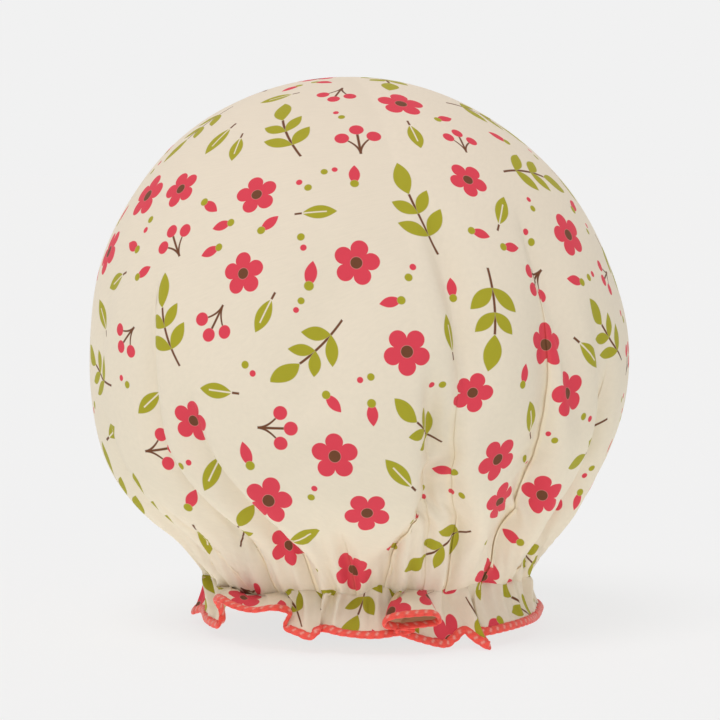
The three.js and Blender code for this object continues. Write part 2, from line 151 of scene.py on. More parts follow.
def back_hollows():
    """Soft hollows in the middles of even steps round the back, each swayed by its number."""
    made = []
    for k in range(BACK_HOLLOWS):
        size = swayed(HOLLOW_SWAYS, k)
        foot = BACK_START + BACK_SPAN * (k + 0.5) / BACK_HOLLOWS + size["shift"]
        made.append(Hollow(foot, size["low"], foot + size["lean"], size["low"] + size["height"],
                           size["depth"], BACK_HOLLOW_LEFT, BACK_HOLLOW_RIGHT))
    return made


HOLLOWS = FRONT_HOLLOWS + back_hollows()


def smooth_step(low, high, value):
    """0 below low, 1 above high, and an even S between them."""
    share = np.clip((value - low) / (high - low), 0, 1)
    return share * share * (3 - 2 * share)


def plan(azimuth, radius, height):
    """A point on an oval round the casing's middle; the oval drifts left as it rises, by the crown's lean."""
    lean = CROWN_LEAN * np.maximum(height - NECK, 0) / (CROWN_TUCK + CROWN_RISE)
    x = CASING_MIDDLE_X + radius * np.sin(azimuth) - lean
    y = -radius * PLAN_RATIO * np.cos(azimuth)
    return np.stack(np.broadcast_arrays(x, y, height), axis=-1)


def ring_distance(azimuth, degrees, radius):
    """How far a place lies to the right of a line, measured along its ring."""
    turn = azimuth - np.radians(degrees)
    return np.arctan2(np.sin(turn), np.cos(turn)) * radius


FOLD_OPENING = 0.026
FOLD_TIP = 0.45
FOOT_WIDTH = 0.0055
FOOT_DEPTH = 0.004
VALLEY_POWER = 1.6
ROLL_SHARE = 0.22
ROLL_WIDTH = 0.007
ROLL_PLACE = 2.1


def fold_line(fold, above):
    """Where a fold lies at a height above the neck, in degrees: an even S from its foot to its head."""
    return fold.foot + (fold.head - fold.foot) * smooth_step(0, fold.turn, above)


def fold_inset(fold, azimuth, radius, above):
    """How far one fold draws the cloth in: a rounded valley along a turning line, steeper on one side than
    the other, with a low roll beside its steep side, all fading out at the fold's rise."""
    away = ring_distance(azimuth, fold_line(fold, above), radius)
    opened = smooth_step(0, FOLD_OPENING, above)
    fade = 1 - np.clip(above / fold.rise, 0, 1) ** 2
    taper = FOLD_TIP + (1 - FOLD_TIP) * fade
    left = (FOOT_WIDTH + (fold.left - FOOT_WIDTH) * opened) * taper
    right = (FOOT_WIDTH + (fold.right - FOOT_WIDTH) * opened) * taper
    valley = np.exp(-np.abs(away / np.where(away < 0, left, right)) ** VALLEY_POWER)
    depth = (FOOT_DEPTH + (fold.depth - FOOT_DEPTH) * opened) * fade
    steep_side = np.sign(fold.left - fold.right) * ROLL_PLACE * np.minimum(left, right)
    roll = ROLL_SHARE * opened * np.exp(-((away - steep_side) / ROLL_WIDTH) ** 2)
    return depth * (valley - roll)


HOLLOW_END_POWER = 4


def hollow_inset(hollow, azimuth, radius, above):
    """How far one hollow draws the cloth in: a rounded valley along a straight line between its two places,
    of nearly even depth between them and soft at both ends."""
    share = (above - hollow.low) / (hollow.high - hollow.low)
    away = ring_distance(azimuth, hollow.foot + (hollow.head - hollow.foot) * share, radius)
    valley = np.exp(-(away / np.where(away < 0, hollow.left, hollow.right)) ** 2)
    return hollow.depth * valley * np.exp(-(2 * share - 1) ** HOLLOW_END_POWER)


# A wave round the neck: its height, how many crests it has, how far and how often they crowd, and its start.
Wave = namedtuple("Wave", "height crests crowd often start", defaults=[0])
GATHER_WAVES = [Wave(1, 47, 2.1, 4), Wave(0.7, 78, 1.5, 7)]
PATCH_WAVE = Wave(1, 2.5, 1.7, 3)
PATCH_LEAST = 0.35
NECK_WAVES = [Wave(0.8, 3, 0, 0, 0.8), Wave(0.7, 8, 2, 3), Wave(0.45, 19, 1.7, 5)]


def neck_wave(azimuth, waves):
    """The sum of sines round the neck, each with a slower sine added to its angle."""
    total = 0
    for wave in waves:
        crowded = wave.crests * azimuth + wave.crowd * np.sin(wave.often * azimuth)
        total = total + wave.height * np.sin(crowded + wave.start)
    return total


def gathers(azimuth):
    """How deep the small pleats at the neck lie: two waves of uneven step, strong in some patches and weak
    in others."""
    patches = PATCH_LEAST + (1 - PATCH_LEAST) * neck_wave(azimuth, [PATCH_WAVE]) ** 2
    return patches * neck_wave(azimuth, GATHER_WAVES)


UPRIGHT_RISE = 0.018
PLEAT_DEPTH = 0.0029
PLEAT_RISE = 0.012
RIPPLE = 0.0008
RIPPLE_CRESTS = 7
RIPPLE_SLANT = 38
RIPPLE_LEVELS = 52
RIPPLE_CROWD = 3
SIDE_DRAW = 0.0045
SIDE_LEVEL = 0.054
SIDE_SPAN = 0.030
NECK_DRAW = 0.0045
NECK_LEVEL = 0.016
NECK_WAVE = 0.0021
NECK_WAVE_RISE = 0.030


def crown_surface(folds):
    """The dome: an ellipse arc turned round the axis, taller above its middle than below and drawn in near
    the neck. With folds, the insets of the folds and the hollows are taken off along its normal, and so are
    fine pleats that die out just above the casing and a faint ripple all over."""
    share = np.linspace(0, 1, CROWN_ROWS)
    gather_angle = math.pi - math.asin(CASING_RADIUS / CROWN_RADIUS)
    crowded = share + ROW_CROWDING * np.sin(math.pi * share) / math.pi
    angle = (POLE_ANGLE + (gather_angle - POLE_ANGLE) * crowded)[:, None]
    azimuth = (FULL_TURN * np.arange(SOFT_COLUMNS) / SOFT_COLUMNS)[None, :]
    reach = np.where(angle < math.pi / 2, CROWN_RISE, CROWN_TUCK / -math.cos(gather_angle))
    radius = CROWN_RADIUS * np.sin(angle) + 0 * azimuth
    height = NECK + CROWN_TUCK + reach * np.cos(angle) + 0 * azimuth
    above = height - NECK
    upright = smooth_step(0, UPRIGHT_RISE, above)
    out = np.sin(angle) / CROWN_RADIUS
    up = np.cos(angle) / reach
    size = np.hypot(out, up)
    out = out / size * upright + (1 - upright)
    up = up / size * upright
    inset = SIDE_DRAW * np.sin(azimuth) * np.exp(-((above - SIDE_LEVEL) / SIDE_SPAN) ** 2)
    inset += NECK_DRAW * (above / NECK_LEVEL * np.exp(1 - above / NECK_LEVEL)) ** 2
    fade = 1 - smooth_step(0, NECK_WAVE_RISE, above)
    height = height + NECK_WAVE * neck_wave(azimuth, NECK_WAVES) * fade
    for fold in folds:
        inset += fold_inset(fold, azimuth, radius, above)
    if folds:
        for hollow in HOLLOWS:
            inset += hollow_inset(hollow, azimuth, radius, above)
        inset += PLEAT_DEPTH * gathers(azimuth) * np.exp(-above / PLEAT_RISE)
        slanting = np.sin(RIPPLE_CRESTS * azimuth + RIPPLE_SLANT * height)
        level = np.sin(RIPPLE_LEVELS * height + RIPPLE_CROWD * np.sin(2 * azimuth))
        inset += RIPPLE * slanting * level * np.sin(angle)
    return plan(azimuth, radius - out * inset, height - up * inset)


def row_lengths(points):
    """The running length round each closed row of a grid, from its first column back to it."""
    steps = np.linalg.norm(np.roll(points, -1, axis=1) - points, axis=2)
    return np.concatenate([np.zeros((len(points), 1)), np.cumsum(steps, axis=1)], axis=1)


def at_columns(points, places):
    """A grid's closed rows read at fractional columns, by straight lines between neighbours."""
    columns = points.shape[1]
    low = np.floor(places).astype(int)
    share = (places - low)[..., None]
    row = np.arange(len(points))[:, None]
    return points[row, low % columns] * (1 - share) + points[row, (low + 1) % columns] * share


def even_columns(points, count):
    """Each closed row resampled so that its columns lie at even lengths along it."""
    runs = row_lengths(points)
    columns = np.arange(points.shape[1] + 1)
    places = np.stack([np.interp(run[-1] * np.arange(count) / count, run, columns) for run in runs])
    return at_columns(points, places)


NO_AREA = 1e-12
NO_LENGTH = 1e-9


def grid_normals(points):
    """Outward unit normals of a grid whose rows run down and whose closed columns run to the right."""
    along = np.roll(points, -1, axis=1) - np.roll(points, 1, axis=1)
    fall = np.gradient(points, axis=0)
    normal = np.cross(fall, along)
    return normal / (np.linalg.norm(normal, axis=-1, keepdims=True) + NO_AREA)


def thread_pull(first, second, rest, squash):
    """Half the move that brings two points back to their rest distance; squash scales it when they are too
    close."""
    gap = second - first
    length = np.linalg.norm(gap, axis=-1, keepdims=True)
    stretch = (length - rest) / np.maximum(length, NO_LENGTH)
    stretch = np.where(stretch < 0, stretch * squash, stretch)
    return 0.5 * stretch * gap


def bend_force(points):
    """The discrete bi-Laplacian of a grid: how far each point's curvature stands out from its neighbours'."""
    force = points
    for _ in range(2):
        mean = np.zeros_like(force)
        sides = np.roll(force, 1, axis=1) + np.roll(force, -1, axis=1)
        mean[1:-1] = (force[2:] + force[:-2] + sides[1:-1]) / 4 - force[1:-1]
        force = mean
    return force


PUFF = 6e-6
MEMORY = 0.02
BENDING = 0.25
SHEAR = 0.25


def relax_cloth(start, across, down, free, squash, limit, steps):
    """Cloth on a grid: at each step every point is puffed out, drawn a little to its start and to a low
    curvature, then the threads along rows, columns and diagonals go back to their cut lengths, and limit()
    has the last word."""
    cloth = start.copy()
    columns = cloth.shape[1]
    slant = np.hypot((across[:-1] + across[1:]) / 2, down)
    for _ in range(steps):
        cloth += free * (PUFF * grid_normals(cloth) + MEMORY * (start - cloth))
        cloth -= BENDING * free * bend_force(cloth)
        for parity in (0, 1):
            first = np.arange(parity, columns, 2)
            second = (first + 1) % columns
            move = thread_pull(cloth[:, first], cloth[:, second], across, squash) * free
            cloth[:, first] += move
            cloth[:, second] -= move
        for parity in (0, 1):
            upper = np.arange(parity, len(cloth) - 1, 2)
            lower = upper + 1
            move = thread_pull(cloth[upper], cloth[lower], down[upper], 1)
            cloth[upper] += move * free[upper]
            cloth[lower] -= move * free[lower]
            for turn in (1, -1):
                beside = np.roll(cloth[lower], turn, axis=1)
                move = SHEAR * thread_pull(cloth[upper], beside, slant[upper], squash[upper])
                cloth[upper] += move * free[upper]
                cloth[lower] -= np.roll(move, -turn, axis=1) * free[lower]
        cloth = np.where(free > 0, limit(cloth), start)
    return cloth


# The cloth's length round, over that of the plain dome: a little ease everywhere, more at the sides, and most
# at the casing.
EASE = 1.002
FULLNESS_AT_CASING = 0.40
GATHER_RISE = 0.075
FULLNESS_AT_SIDES = 0.05
SIDES_TOP = 0.182
SIDES_SPAN = 0.114
SIDES_POWER = 1.5
# The top rows stay where they are and the next ones are let go by and by. Near the casing the threads round
# may be squashed.
HELD_ROWS = 10
EASED_ROWS = 10
SQUASH_RISE = 0.014
# How far the cloth may go inside and outside the plain dome: at the casing, and more above it.
ROOM_RISE = 0.03
ROOM_IN = 0.005
ROOM_IN_ABOVE = 0.016
ROOM_OUT = 0.0010
ROOM_OUT_ABOVE = 0.0018
ROOM_OUT_TOP = 0.167
ROOM_OUT_SPAN = 0.1
RELAX_STEPS = 220

plain_crown = crown_surface([])
start_crown = crown_surface(FOLDS)
crown_out = grid_normals(plain_crown)
plain_height = plain_crown[:, :, 2].mean(axis=1)
plain_rounds = row_lengths(plain_crown)[:, -1]
start_rounds = row_lengths(start_crown)[:, -1]
over_casing = plain_height - NECK
low_share = np.clip(1 - over_casing / GATHER_RISE, 0, 1) ** 2
side_share = np.clip((SIDES_TOP - over_casing) / SIDES_SPAN, 0, 1) ** SIDES_POWER
fullness = EASE + FULLNESS_AT_SIDES * side_share + FULLNESS_AT_CASING * low_share
cut_rounds = np.maximum(plain_rounds * fullness, start_rounds)
thread_across = (cut_rounds / SOFT_COLUMNS)[:, None, None]
thread_down = np.linalg.norm(np.diff(plain_crown, axis=0), axis=2).mean(axis=1)[:, None, None]
row_number = np.arange(CROWN_ROWS)[:, None, None]
held_free = np.clip((row_number - HELD_ROWS) / EASED_ROWS, 0, 1) * (row_number < CROWN_ROWS - 1)
gather_squash = np.clip(over_casing / SQUASH_RISE, 0, 1)[:, None, None]
room_share = np.clip(over_casing / ROOM_RISE, 0, 1)[:, None, None]
room_in = ROOM_IN + ROOM_IN_ABOVE * room_share
under_top = np.clip((ROOM_OUT_TOP - over_casing) / ROOM_OUT_SPAN, 0, 1)[:, None, None]
room_out = ROOM_OUT + ROOM_OUT_ABOVE * room_share * under_top


def within_room(cloth):
    """The cloth kept between two shells: so far inside and outside the plain dome, along its normal."""
    off = np.sum((cloth - plain_crown) * crown_out, axis=-1, keepdims=True)
    return cloth + (np.clip(off, -room_in, room_out) - off) * crown_out


soft_crown = relax_cloth(even_columns(start_crown, SOFT_COLUMNS), thread_across, thread_down, held_free,
                         gather_squash, within_room, RELAX_STEPS)

# Pleats
# Along each fold the cloth is tucked: the left panel runs under the right one, turns back, and comes out over
# it. Grid columns follow the fold lines, so that every pleat has a crisp edge.
PLEAT_SIDES = 1.1
LEAST_SIDES = 4
PLEAT_CROWDING = 0.6
LINE_GAP = 2.5
LINE_SMOOTHING = 16
COLUMN_NUDGE = 1e-6
TUCK_TURN = 0.45
TUCK_MARGIN = 0.12
TUCK_FADE = 0.6
BIG_TUCK = 0.005
PLEAT_LIFT = 0.0006
PLEAT_SINK = 0.0007
OVER_WIDTH = 0.010
UNDER_WIDTH = 0.014
# Across a pleat from left to right: shares of the tuck to the right, and of the sink below or the lift above
TUCK_SHARES = np.array([-0.06, 0.5, 1.0, 0.95, 0.45, -0.22, -0.06])
SINK_SHARES = np.array([-1.0, -1.1, -0.95, -0.5, -0.1, 0.0, 0.0])
LIFT_SHARES = np.array([0.0, 0.0, 0.0, 0.0, 0.1, 0.65, 1.0])
PLEAT_COLUMNS = len(TUCK_SHARES)
CREASE_WIDTH = 0.0011
GATHER_CREASE = 0.3

folds_in_order = sorted(FOLDS, key=lambda fold: fold.foot % 360)


def pleat_lines():
    """The fold lines at each row in degrees, kept apart where two of them run together."""
    lines = np.stack([fold_line(fold, over_casing) % 360 for fold in folds_in_order], axis=1)
    for k in range(len(folds_in_order) - 2, -1, -1):
        lines[:, k] = np.minimum(lines[:, k], lines[:, k + 1] - LINE_GAP)
    return lines


def pleat_strength():
    """How fully each pleat is tucked at each row: full in its lower part, then less and less to its rise."""
    left = 1 - over_casing[:, None] / np.array([fold.rise for fold in folds_in_order])
    return smooth_step(0, TUCK_FADE, left)


def pleat_layout(lines):
    """For each grid column the pleat on its left, its share of the way to the next pleat, and its place in
    the tuck or -1. Columns crowd a little towards the pleats."""
    gaps = np.diff(np.append(lines, lines[0] + 360))
    pleat, share, fold_place = [], [], []
    for k, gap in enumerate(gaps):
        count = max(LEAST_SIDES, round(gap * PLEAT_SIDES))
        step = (np.arange(count) + 1) / (count + 1)
        crowded = step - PLEAT_CROWDING * np.sin(FULL_TURN * step) / FULL_TURN
        pleat += [k] * (PLEAT_COLUMNS + count)
        share += [0.0] * PLEAT_COLUMNS + crowded.tolist()
        fold_place += list(range(PLEAT_COLUMNS)) + [-1] * count
    return np.array(pleat), np.array(share), np.array(fold_place)


def unit(vectors):
    """The same directions with length one."""
    return vectors / np.linalg.norm(vectors, axis=-1, keepdims=True)


def pleated(soft):
    """The soft crown read along the pleat columns, with each tuck laid in: in the tuck the columns go under
    and back by its shares, panels right of a pleat are lifted and those left of it sunk, less with distance.
    The second result is each point's turn round the cut cloth, the third how deep in a crease it lies, which
    the cloth's material turns into a painted warm glow."""
    lines = pleat_lines()
    strength = pleat_strength()
    pleat, share, fold_place = pleat_layout(lines[-1])
    following = (pleat + 1) % lines.shape[1]
    gaps = np.mod(np.roll(lines, -1, axis=1) - lines, 360)
    margins = np.minimum(TUCK_TURN, TUCK_MARGIN * np.minimum(gaps, np.roll(gaps, 1, axis=1)))
    gap = (gaps - margins)[:, pleat] - margins[:, following]
    tucks = np.array([fold.tuck for fold in folds_in_order])
    inside = fold_place >= 0
    sideways = np.where(inside, (fold_place - PLEAT_COLUMNS // 2) / (PLEAT_COLUMNS // 2 + 1), 1)
    azimuth = lines[:, pleat] + margins[:, pleat] * sideways + share * gap
    middle = CASING_MIDDLE_X - CROWN_LEAN * np.maximum(over_casing, 0)[:, None] / (CROWN_TUCK + CROWN_RISE)
    soft_azimuth = np.arctan2(soft[:, :, 0] - middle, -soft[:, :, 1] / PLAN_RATIO)
    soft_azimuth = np.degrees(np.unwrap(soft_azimuth, axis=1))
    columns = np.arange(-SOFT_COLUMNS, 2 * SOFT_COLUMNS)
    places = []
    for row, around in enumerate(soft_azimuth):
        rounds = np.concatenate([around - 360, around, around + 360])
        rising = np.maximum.accumulate(rounds + COLUMN_NUDGE * columns)
        places.append(np.interp(azimuth[row], rising, columns))
    places = np.stack(places)
    for _ in range(LINE_SMOOTHING):
        places[1:-1] = (places[:-2] + 2 * places[1:-1] + places[2:]) / 4
    base = at_columns(soft, places)
    out = at_columns(grid_normals(soft), places)
    ahead = at_columns(unit(np.roll(soft, -1, axis=1) - np.roll(soft, 1, axis=1)), places)
    radius = np.linalg.norm(soft[:, :, :2] - [CASING_MIDDLE_X, 0], axis=2).mean(axis=1)[:, None]
    size = np.sqrt(tucks / BIG_TUCK)
    right_of = np.radians(share * gap) * radius
    left_of = np.radians((1 - share) * gap) * radius
    own = strength[:, pleat]
    after = (size * strength)[:, following]
    lift = PLEAT_LIFT * (size * strength)[:, pleat] * np.exp(-(right_of / OVER_WIDTH) ** 2)
    sink = PLEAT_SINK * after * np.exp(-(left_of / UNDER_WIDTH) ** 2)
    tucked = PLEAT_SINK * SINK_SHARES[fold_place] + PLEAT_LIFT * LIFT_SHARES[fold_place]
    rise = np.where(inside, own * size[pleat] * tucked, lift - sink)
    aside = np.where(inside, own * tucks[pleat] * TUCK_SHARES[fold_place], 0)
    crease = np.where(inside, own * size[pleat], after * np.exp(-(left_of / CREASE_WIDTH) ** 2))
    pinched = np.maximum(gathers(np.radians(azimuth)), 0) ** 2 * np.exp(-over_casing / PLEAT_RISE)[:, None]
    points = base + rise[..., None] * out + aside[..., None] * ahead
    return points, places / SOFT_COLUMNS * FULL_TURN, crease + GATHER_CREASE * pinched


crown_points, crown_turns, crown_crease = pleated(soft_crown)
CROWN_COLUMNS = crown_points.shape[1]
BAND_ROWS = 4
BAND_INSET = 0.0006
RING_SPAN = 7


def plan_place(edge):
    """The azimuth of points round the casing's middle, and the radius of the oval that each lies on."""
    across = edge[:, 0] - CASING_MIDDLE_X
    ahead = -edge[:, 1] / PLAN_RATIO
    return np.arctan2(across, ahead), np.hypot(across, ahead)


def inner_ring(azimuth):
    """The smooth ring that fits inside the gathers of the crown's edge: the least radius within a short span
    on both sides, evened out over the same span."""
    around, reach = plan_place(soft_crown[-1])
    span = range(-RING_SPAN, RING_SPAN + 1)
    least = np.min([np.roll(reach, step) for step in span], axis=0)
    ring = np.mean([np.roll(least, step) for step in span], axis=0)
    return np.interp(azimuth, around, ring, period=FULL_TURN)


def casing_band(edge):
    """The gathered edge carried down the lower half of the casing behind the frill, where it is drawn in to
    the ring inside its gathers over the first half of the way."""
    share = (np.arange(1, BAND_ROWS + 1) / BAND_ROWS)[:, None]
    azimuth, reach = plan_place(edge)
    drawn = (inner_ring(azimuth) - BAND_INSET - reach) * np.minimum(2 * share, 1)
    return plan(azimuth, reach + drawn, edge[:, 2] + (CASING_BOTTOM - edge[:, 2]) * share)


crown_points = np.concatenate([crown_points, casing_band(crown_points[-1])])
crown_turns = np.concatenate([crown_turns, np.repeat(crown_turns[-1:], BAND_ROWS, axis=0)])
crown_crease = np.concatenate([crown_crease, np.zeros((BAND_ROWS, CROWN_COLUMNS))])

# Printed cotton
# The cloth is a cream plain weave, roller printed with small blossoms, leaf sprigs and berries in coral, lime
# and brown. The inks sit in the threads, so the print is matt and shows through faintly on the reverse.


def linear(red, green, blue):
    """A colour written as it looks on screen, from 0 to 255, as the light values that a shader takes, by the
    standard curve of screens."""
    shares = np.array([red, green, blue]) / 255
    light = np.where(shares <= 0.04045, shares / 12.92, ((shares + 0.055) / 1.055) ** 2.4)
    return (*light.tolist(), 1.0)


CREAM = linear(243, 229, 209)
# The reverse: the print shows faintly through, as on the real cloth, but its darker tan tint is painted
# shade.
SHADED_REVERSE_CREAM = linear(230, 204, 168)
# Painted light in the creases: a lighter warm tint mixed into the cloth's colour and a faint warm emission
# stand in for light that shines through the thin cotton and bounces in the folds.
CREASE_GLOW = linear(252, 234, 190)
CREASE_GLOW_SHARE = 0.22
CREASE_LIGHT = linear(255, 214, 140)
CREASE_LIGHT_STRENGTH = 0.045
CORAL_INK = linear(226, 66, 84)
LIME_INK = linear(172, 164, 38)
BROWN_INK = linear(112, 66, 40)
INK_EDGE = 0.00035


class Reading:
    """A value that a material reads at each point of a surface; arithmetic on it adds Math nodes."""

    def __init__(self, tree, socket):
        self.tree = tree
        self.socket = socket

    def math(self, operation, *others, clamp=False):
        node = self.tree.nodes.new("ShaderNodeMath")
        node.operation = operation
        node.use_clamp = clamp
        for place, value in enumerate((self, *others)):
            if isinstance(value, Reading):
                self.tree.links.new(value.socket, node.inputs[place])
            else:
                node.inputs[place].default_value = value
        return Reading(self.tree, node.outputs[0])

    def __add__(self, other):
        return self.math("ADD", other)

    def __sub__(self, other):
        return self.math("SUBTRACT", other)

    def __mul__(self, other):
        return self.math("MULTIPLY", other)

    def __neg__(self):
        return self.math("MULTIPLY", -1)

    def __abs__(self):
        return self.math("ABSOLUTE")

    def least(self, other):
        return self.math("MINIMUM", other)

    def most(self, other):
        return self.math("MAXIMUM", other)

    def squared(self):
        return self.math("MULTIPLY", self)

    def inked(self):
        """1 where a shape's inner distance is above nothing, with an edge as soft as ink on thread."""
        return self.math("MULTIPLY_ADD", 1 / INK_EDGE, 0.5, clamp=True)


def dot(x, y, radius):
    """Inside distance of a round dot at the middle."""
    return -(x.squared() + y.squared()).math("SQRT") + radius


def almond(along, aside, length, width):
    """Inside distance of a leaf from 0 to its length: its half width falls from the middle as a parabola."""
    share = (along - length / 2) * (2 / length)
    return -share.squared() * width - abs(aside) + width


def turned(x, y, slope):
    """The same point measured along and across a line at that slope."""
    cosine = np.cos(slope)
    sine = np.sin(slope)
    return x * cosine + y * sine, y * cosine - x * sine


BLOSSOM = 0.0115
PETALS = 5
PETAL_ROUNDING = 0.6
BLOSSOM_NOTCH = 0.45
BLOSSOM_EYE = 0.0030


def blossom(x, y):
    """Five broad petals: a disc whose edge dips five times round, and a solid eye."""
    around = y.math("ARCTAN2", x)
    wave = abs((around * (PETALS / 2)).math("COSINE")).math("POWER", PETAL_ROUNDING)
    edge = wave * (BLOSSOM * BLOSSOM_NOTCH) + BLOSSOM * (1 - BLOSSOM_NOTCH)
    eye = dot(x, y, BLOSSOM_EYE).inked()
    petals = (dot(x, y, 0) + edge).inked()
    return {"coral": petals * (-eye + 1), "brown": eye}


STEM_BEND = 6.0
STEM_HALF = 0.0006
SPRIG_FOOT = -0.021
SPRIG_TIP = 0.009
TIP_LEAF = (0.017, 0.0042)
# Each pair of leaves: its height on the stem, a leaf's length and half width, and its slope in degrees
LEAF_PAIRS = [(-0.012, 0.015, 0.0033, 42), (-0.001, 0.013, 0.0030, 46)]


def sprig(x, y):
    """A bent stem with two pairs of leaves and one leaf at its tip."""
    off = x - y.squared() * STEM_BEND
    stem = (-abs(off) + STEM_HALF).least(-y + SPRIG_TIP).least(y - SPRIG_FOOT).inked()
    leaves = almond(y - SPRIG_TIP, off, *TIP_LEAF).inked()
    for height, length, width, slope in LEAF_PAIRS:
        along, aside = turned(abs(off), y - height, math.radians(slope))
        leaves = leaves.most(almond(along, aside, length, width).inked())
    return {"lime": leaves, "brown": stem * (-leaves + 1)}


BERRY = 0.0033
BERRY_FOOT = -0.010
BERRY_TOP = 0.006
BERRY_ASIDE = 0.0072
BERRY_SIDE_HEIGHT = 0.001


def berries(x, y):
    """Three berries on a forked stalk: one at its top and one to each side."""
    side = abs(x)
    rise = y - BERRY_FOOT
    fork = rise.squared() * (BERRY_ASIDE / (BERRY_SIDE_HEIGHT - BERRY_FOOT) ** 2)
    outer = (-abs(side - fork) + STEM_HALF).least(rise).least(-y + BERRY_SIDE_HEIGHT).inked()
    middle = (-side + STEM_HALF).least(rise).least(-y + BERRY_TOP).inked()
    top = dot(x, y - BERRY_TOP, BERRY)
    fruit = top.most(dot(side - BERRY_ASIDE, y - BERRY_SIDE_HEIGHT, BERRY)).inked()
    return {"coral": fruit, "brown": outer.most(middle) * (-fruit + 1)}


LONE_LEAF = (0.019, 0.0040)
VEIN_HALF = 0.0004
VEIN_TOP = 0.004
LEAF_STALK = 0.004


def lone_leaf(x, y):
    """A single leaf with its middle vein left as bare cloth and a short stalk."""
    along = y + LONE_LEAF[0] / 2
    vein = (-abs(x) + VEIN_HALF).least(-y + VEIN_TOP).inked()
    leaf = almond(along, x, *LONE_LEAF).inked() * (-vein + 1)
    stalk = (-abs(x) + STEM_HALF).least(-along).least(along + LEAF_STALK).inked()
    return {"lime": leaf, "brown": stalk}


BUD = (0.012, 0.0028)
BUD_CUP = 0.0022
CUP_RISE = 0.0005


def bud(x, y):
    """A closed bud with a dot of leaf colour at its foot."""
    along = y + BUD[0] / 2
    flower = almond(along, x, *BUD).inked()
    cup = dot(x, along - CUP_RISE, BUD_CUP).inked()
    return {"coral": flower * (-cup + 1), "lime": cup}


SEED_ASIDE = 0.0028
SEED_RISE = 0.001
LIME_SEED = 0.0019
CORAL_SEED = 0.0016


def seeds(x, y):
    """Two small seeds side by side, one of each colour."""
    return {"lime": dot(x - SEED_ASIDE, y, LIME_SEED).inked(),
            "coral": dot(x + SEED_ASIDE, y - SEED_RISE, CORAL_SEED).inked()}


# Each motif of the print with the room it takes up and how many the crown has
Motif = namedtuple("Motif", "draw half_width half_length count")
MOTIFS = [
    Motif(sprig, 0.013, 0.026, 40),
    Motif(blossom, 0.0130, 0.0130, 44),
    Motif(berries, 0.0120, 0.0120, 34),
    Motif(lone_leaf, 0.0060, 0.0150, 44),
    Motif(bud, 0.0048, 0.0085, 60),
    Motif(seeds, 0.0062, 0.0045, 90),
]
MOTIF_STEP = 0.2


def new_group(name, inputs, outputs):
    """An empty shader node group with named sockets, each given as (name, type, default)."""
    group = bpy.data.node_groups.new(name, "ShaderNodeTree")
    for label, kind, default in inputs:
        socket = group.interface.new_socket(label, in_out="INPUT", socket_type=kind)
        if default is not None:
            socket.default_value = default
    for label, kind in outputs:
        group.interface.new_socket(label, in_out="OUTPUT", socket_type=kind)
    return group, group.nodes.new("NodeGroupInput"), group.nodes.new("NodeGroupOutput")


def mix_colours(tree, share, first, second):
    """One colour turning into another by a share that changes over the surface."""
    node = tree.nodes.new("ShaderNodeMix")
    node.data_type = "RGBA"
    sockets = [node.inputs[0], node.inputs[6], node.inputs[7]]
    for socket, value in zip(sockets, (share, first, second)):
        if isinstance(value, Reading):
            tree.links.new(value.socket, socket)
        elif isinstance(value, bpy.types.NodeSocket):
            tree.links.new(value, socket)
        else:
            socket.default_value = value
    return node.outputs[2]


def split_place(tree, place):
    """The first two coordinates of a place."""
    split = tree.nodes.new("ShaderNodeSeparateXYZ")
    tree.links.new(place, split.inputs[0])
    return Reading(tree, split.outputs[0]), Reading(tree, split.outputs[1])


def noise_reading(tree, place, scale, detail):
    """A smooth random value that changes from place to place."""
    noise = tree.nodes.new("ShaderNodeTexNoise")
    noise.inputs["Scale"].default_value = scale
    noise.inputs["Detail"].default_value = detail
    tree.links.new(place, noise.inputs["Vector"])
    return Reading(tree, noise.outputs["Fac"])


def print_group():
    """The print as a node group: each motif is drawn round its own spot on the map, a step apart along U."""
    group, entry, end = new_group(
        "garden_print",
        [("Place", "NodeSocketVector", None), ("Cloth", "NodeSocketColor", CREAM),
         ("Strength", "NodeSocketFloat", 1.0)],
        [("Colour", "NodeSocketColor")])
    across, along = split_place(group, entry.outputs["Place"])
    strength = Reading(group, entry.outputs["Strength"])
    inks = {}
    for number, motif in enumerate(MOTIFS):
        for ink, mask in motif.draw(across - number * MOTIF_STEP, along).items():
            inks[ink] = inks[ink].most(mask) if ink in inks else mask
    colour = entry.outputs["Cloth"]
    for ink, pigment in (("lime", LIME_INK), ("brown", BROWN_INK), ("coral", CORAL_INK)):
        colour = mix_colours(group, inks[ink] * strength, colour, pigment)
    group.links.new(colour, end.inputs["Colour"])
    return group


WEAVE_PITCH = 0.0005
WEAVE_HEIGHT = 0.5
SLUB_HEIGHT = 0.7
SLUB_SCALE = 380
SLUB_DETAIL = 2


def weave_group():
    """Plain weave as a node group: two crossed waves of threads, and slow slubs that thicken some of them."""
    group, entry, end = new_group(
        "plain_weave",
        [("Place", "NodeSocketVector", None), ("Pitch", "NodeSocketFloat", WEAVE_PITCH)],
        [("Height", "NodeSocketFloat"), ("Slub", "NodeSocketFloat")])
    across, along = split_place(group, entry.outputs["Place"])
    rate = Reading(group, entry.outputs["Pitch"]).math("POWER", -1) * FULL_TURN
    warp = (across * rate).math("SINE")
    weft = (along * rate).math("SINE")
    slub = noise_reading(group, entry.outputs["Place"], SLUB_SCALE, SLUB_DETAIL)
    height = warp * weft * WEAVE_HEIGHT + slub * SLUB_HEIGHT
    group.links.new(height.socket, end.inputs["Height"])
    group.links.new(slub.socket, end.inputs["Slub"])
    return group


GARDEN_PRINT = print_group()
PLAIN_WEAVE = weave_group()
PRINT_MAP = "print_map"
CLOTH_MAP = "cloth_map"
CREASE = "crease"


def new_material(name, finish):
    """A material with a plain Principled shader whose even values are set on its own sockets."""
    material = bpy.data.materials.new(name)
    material.use_nodes = True
    shader = material.node_tree.nodes["Principled BSDF"]
    for label, value in finish.items():
        shader.inputs[label].default_value = value
    return material, material.node_tree, shader


def map_reading(tree, name):
    """The named UV map of the piece."""
    node = tree.nodes.new("ShaderNodeUVMap")
    node.uv_map = name
    return node.outputs[0]


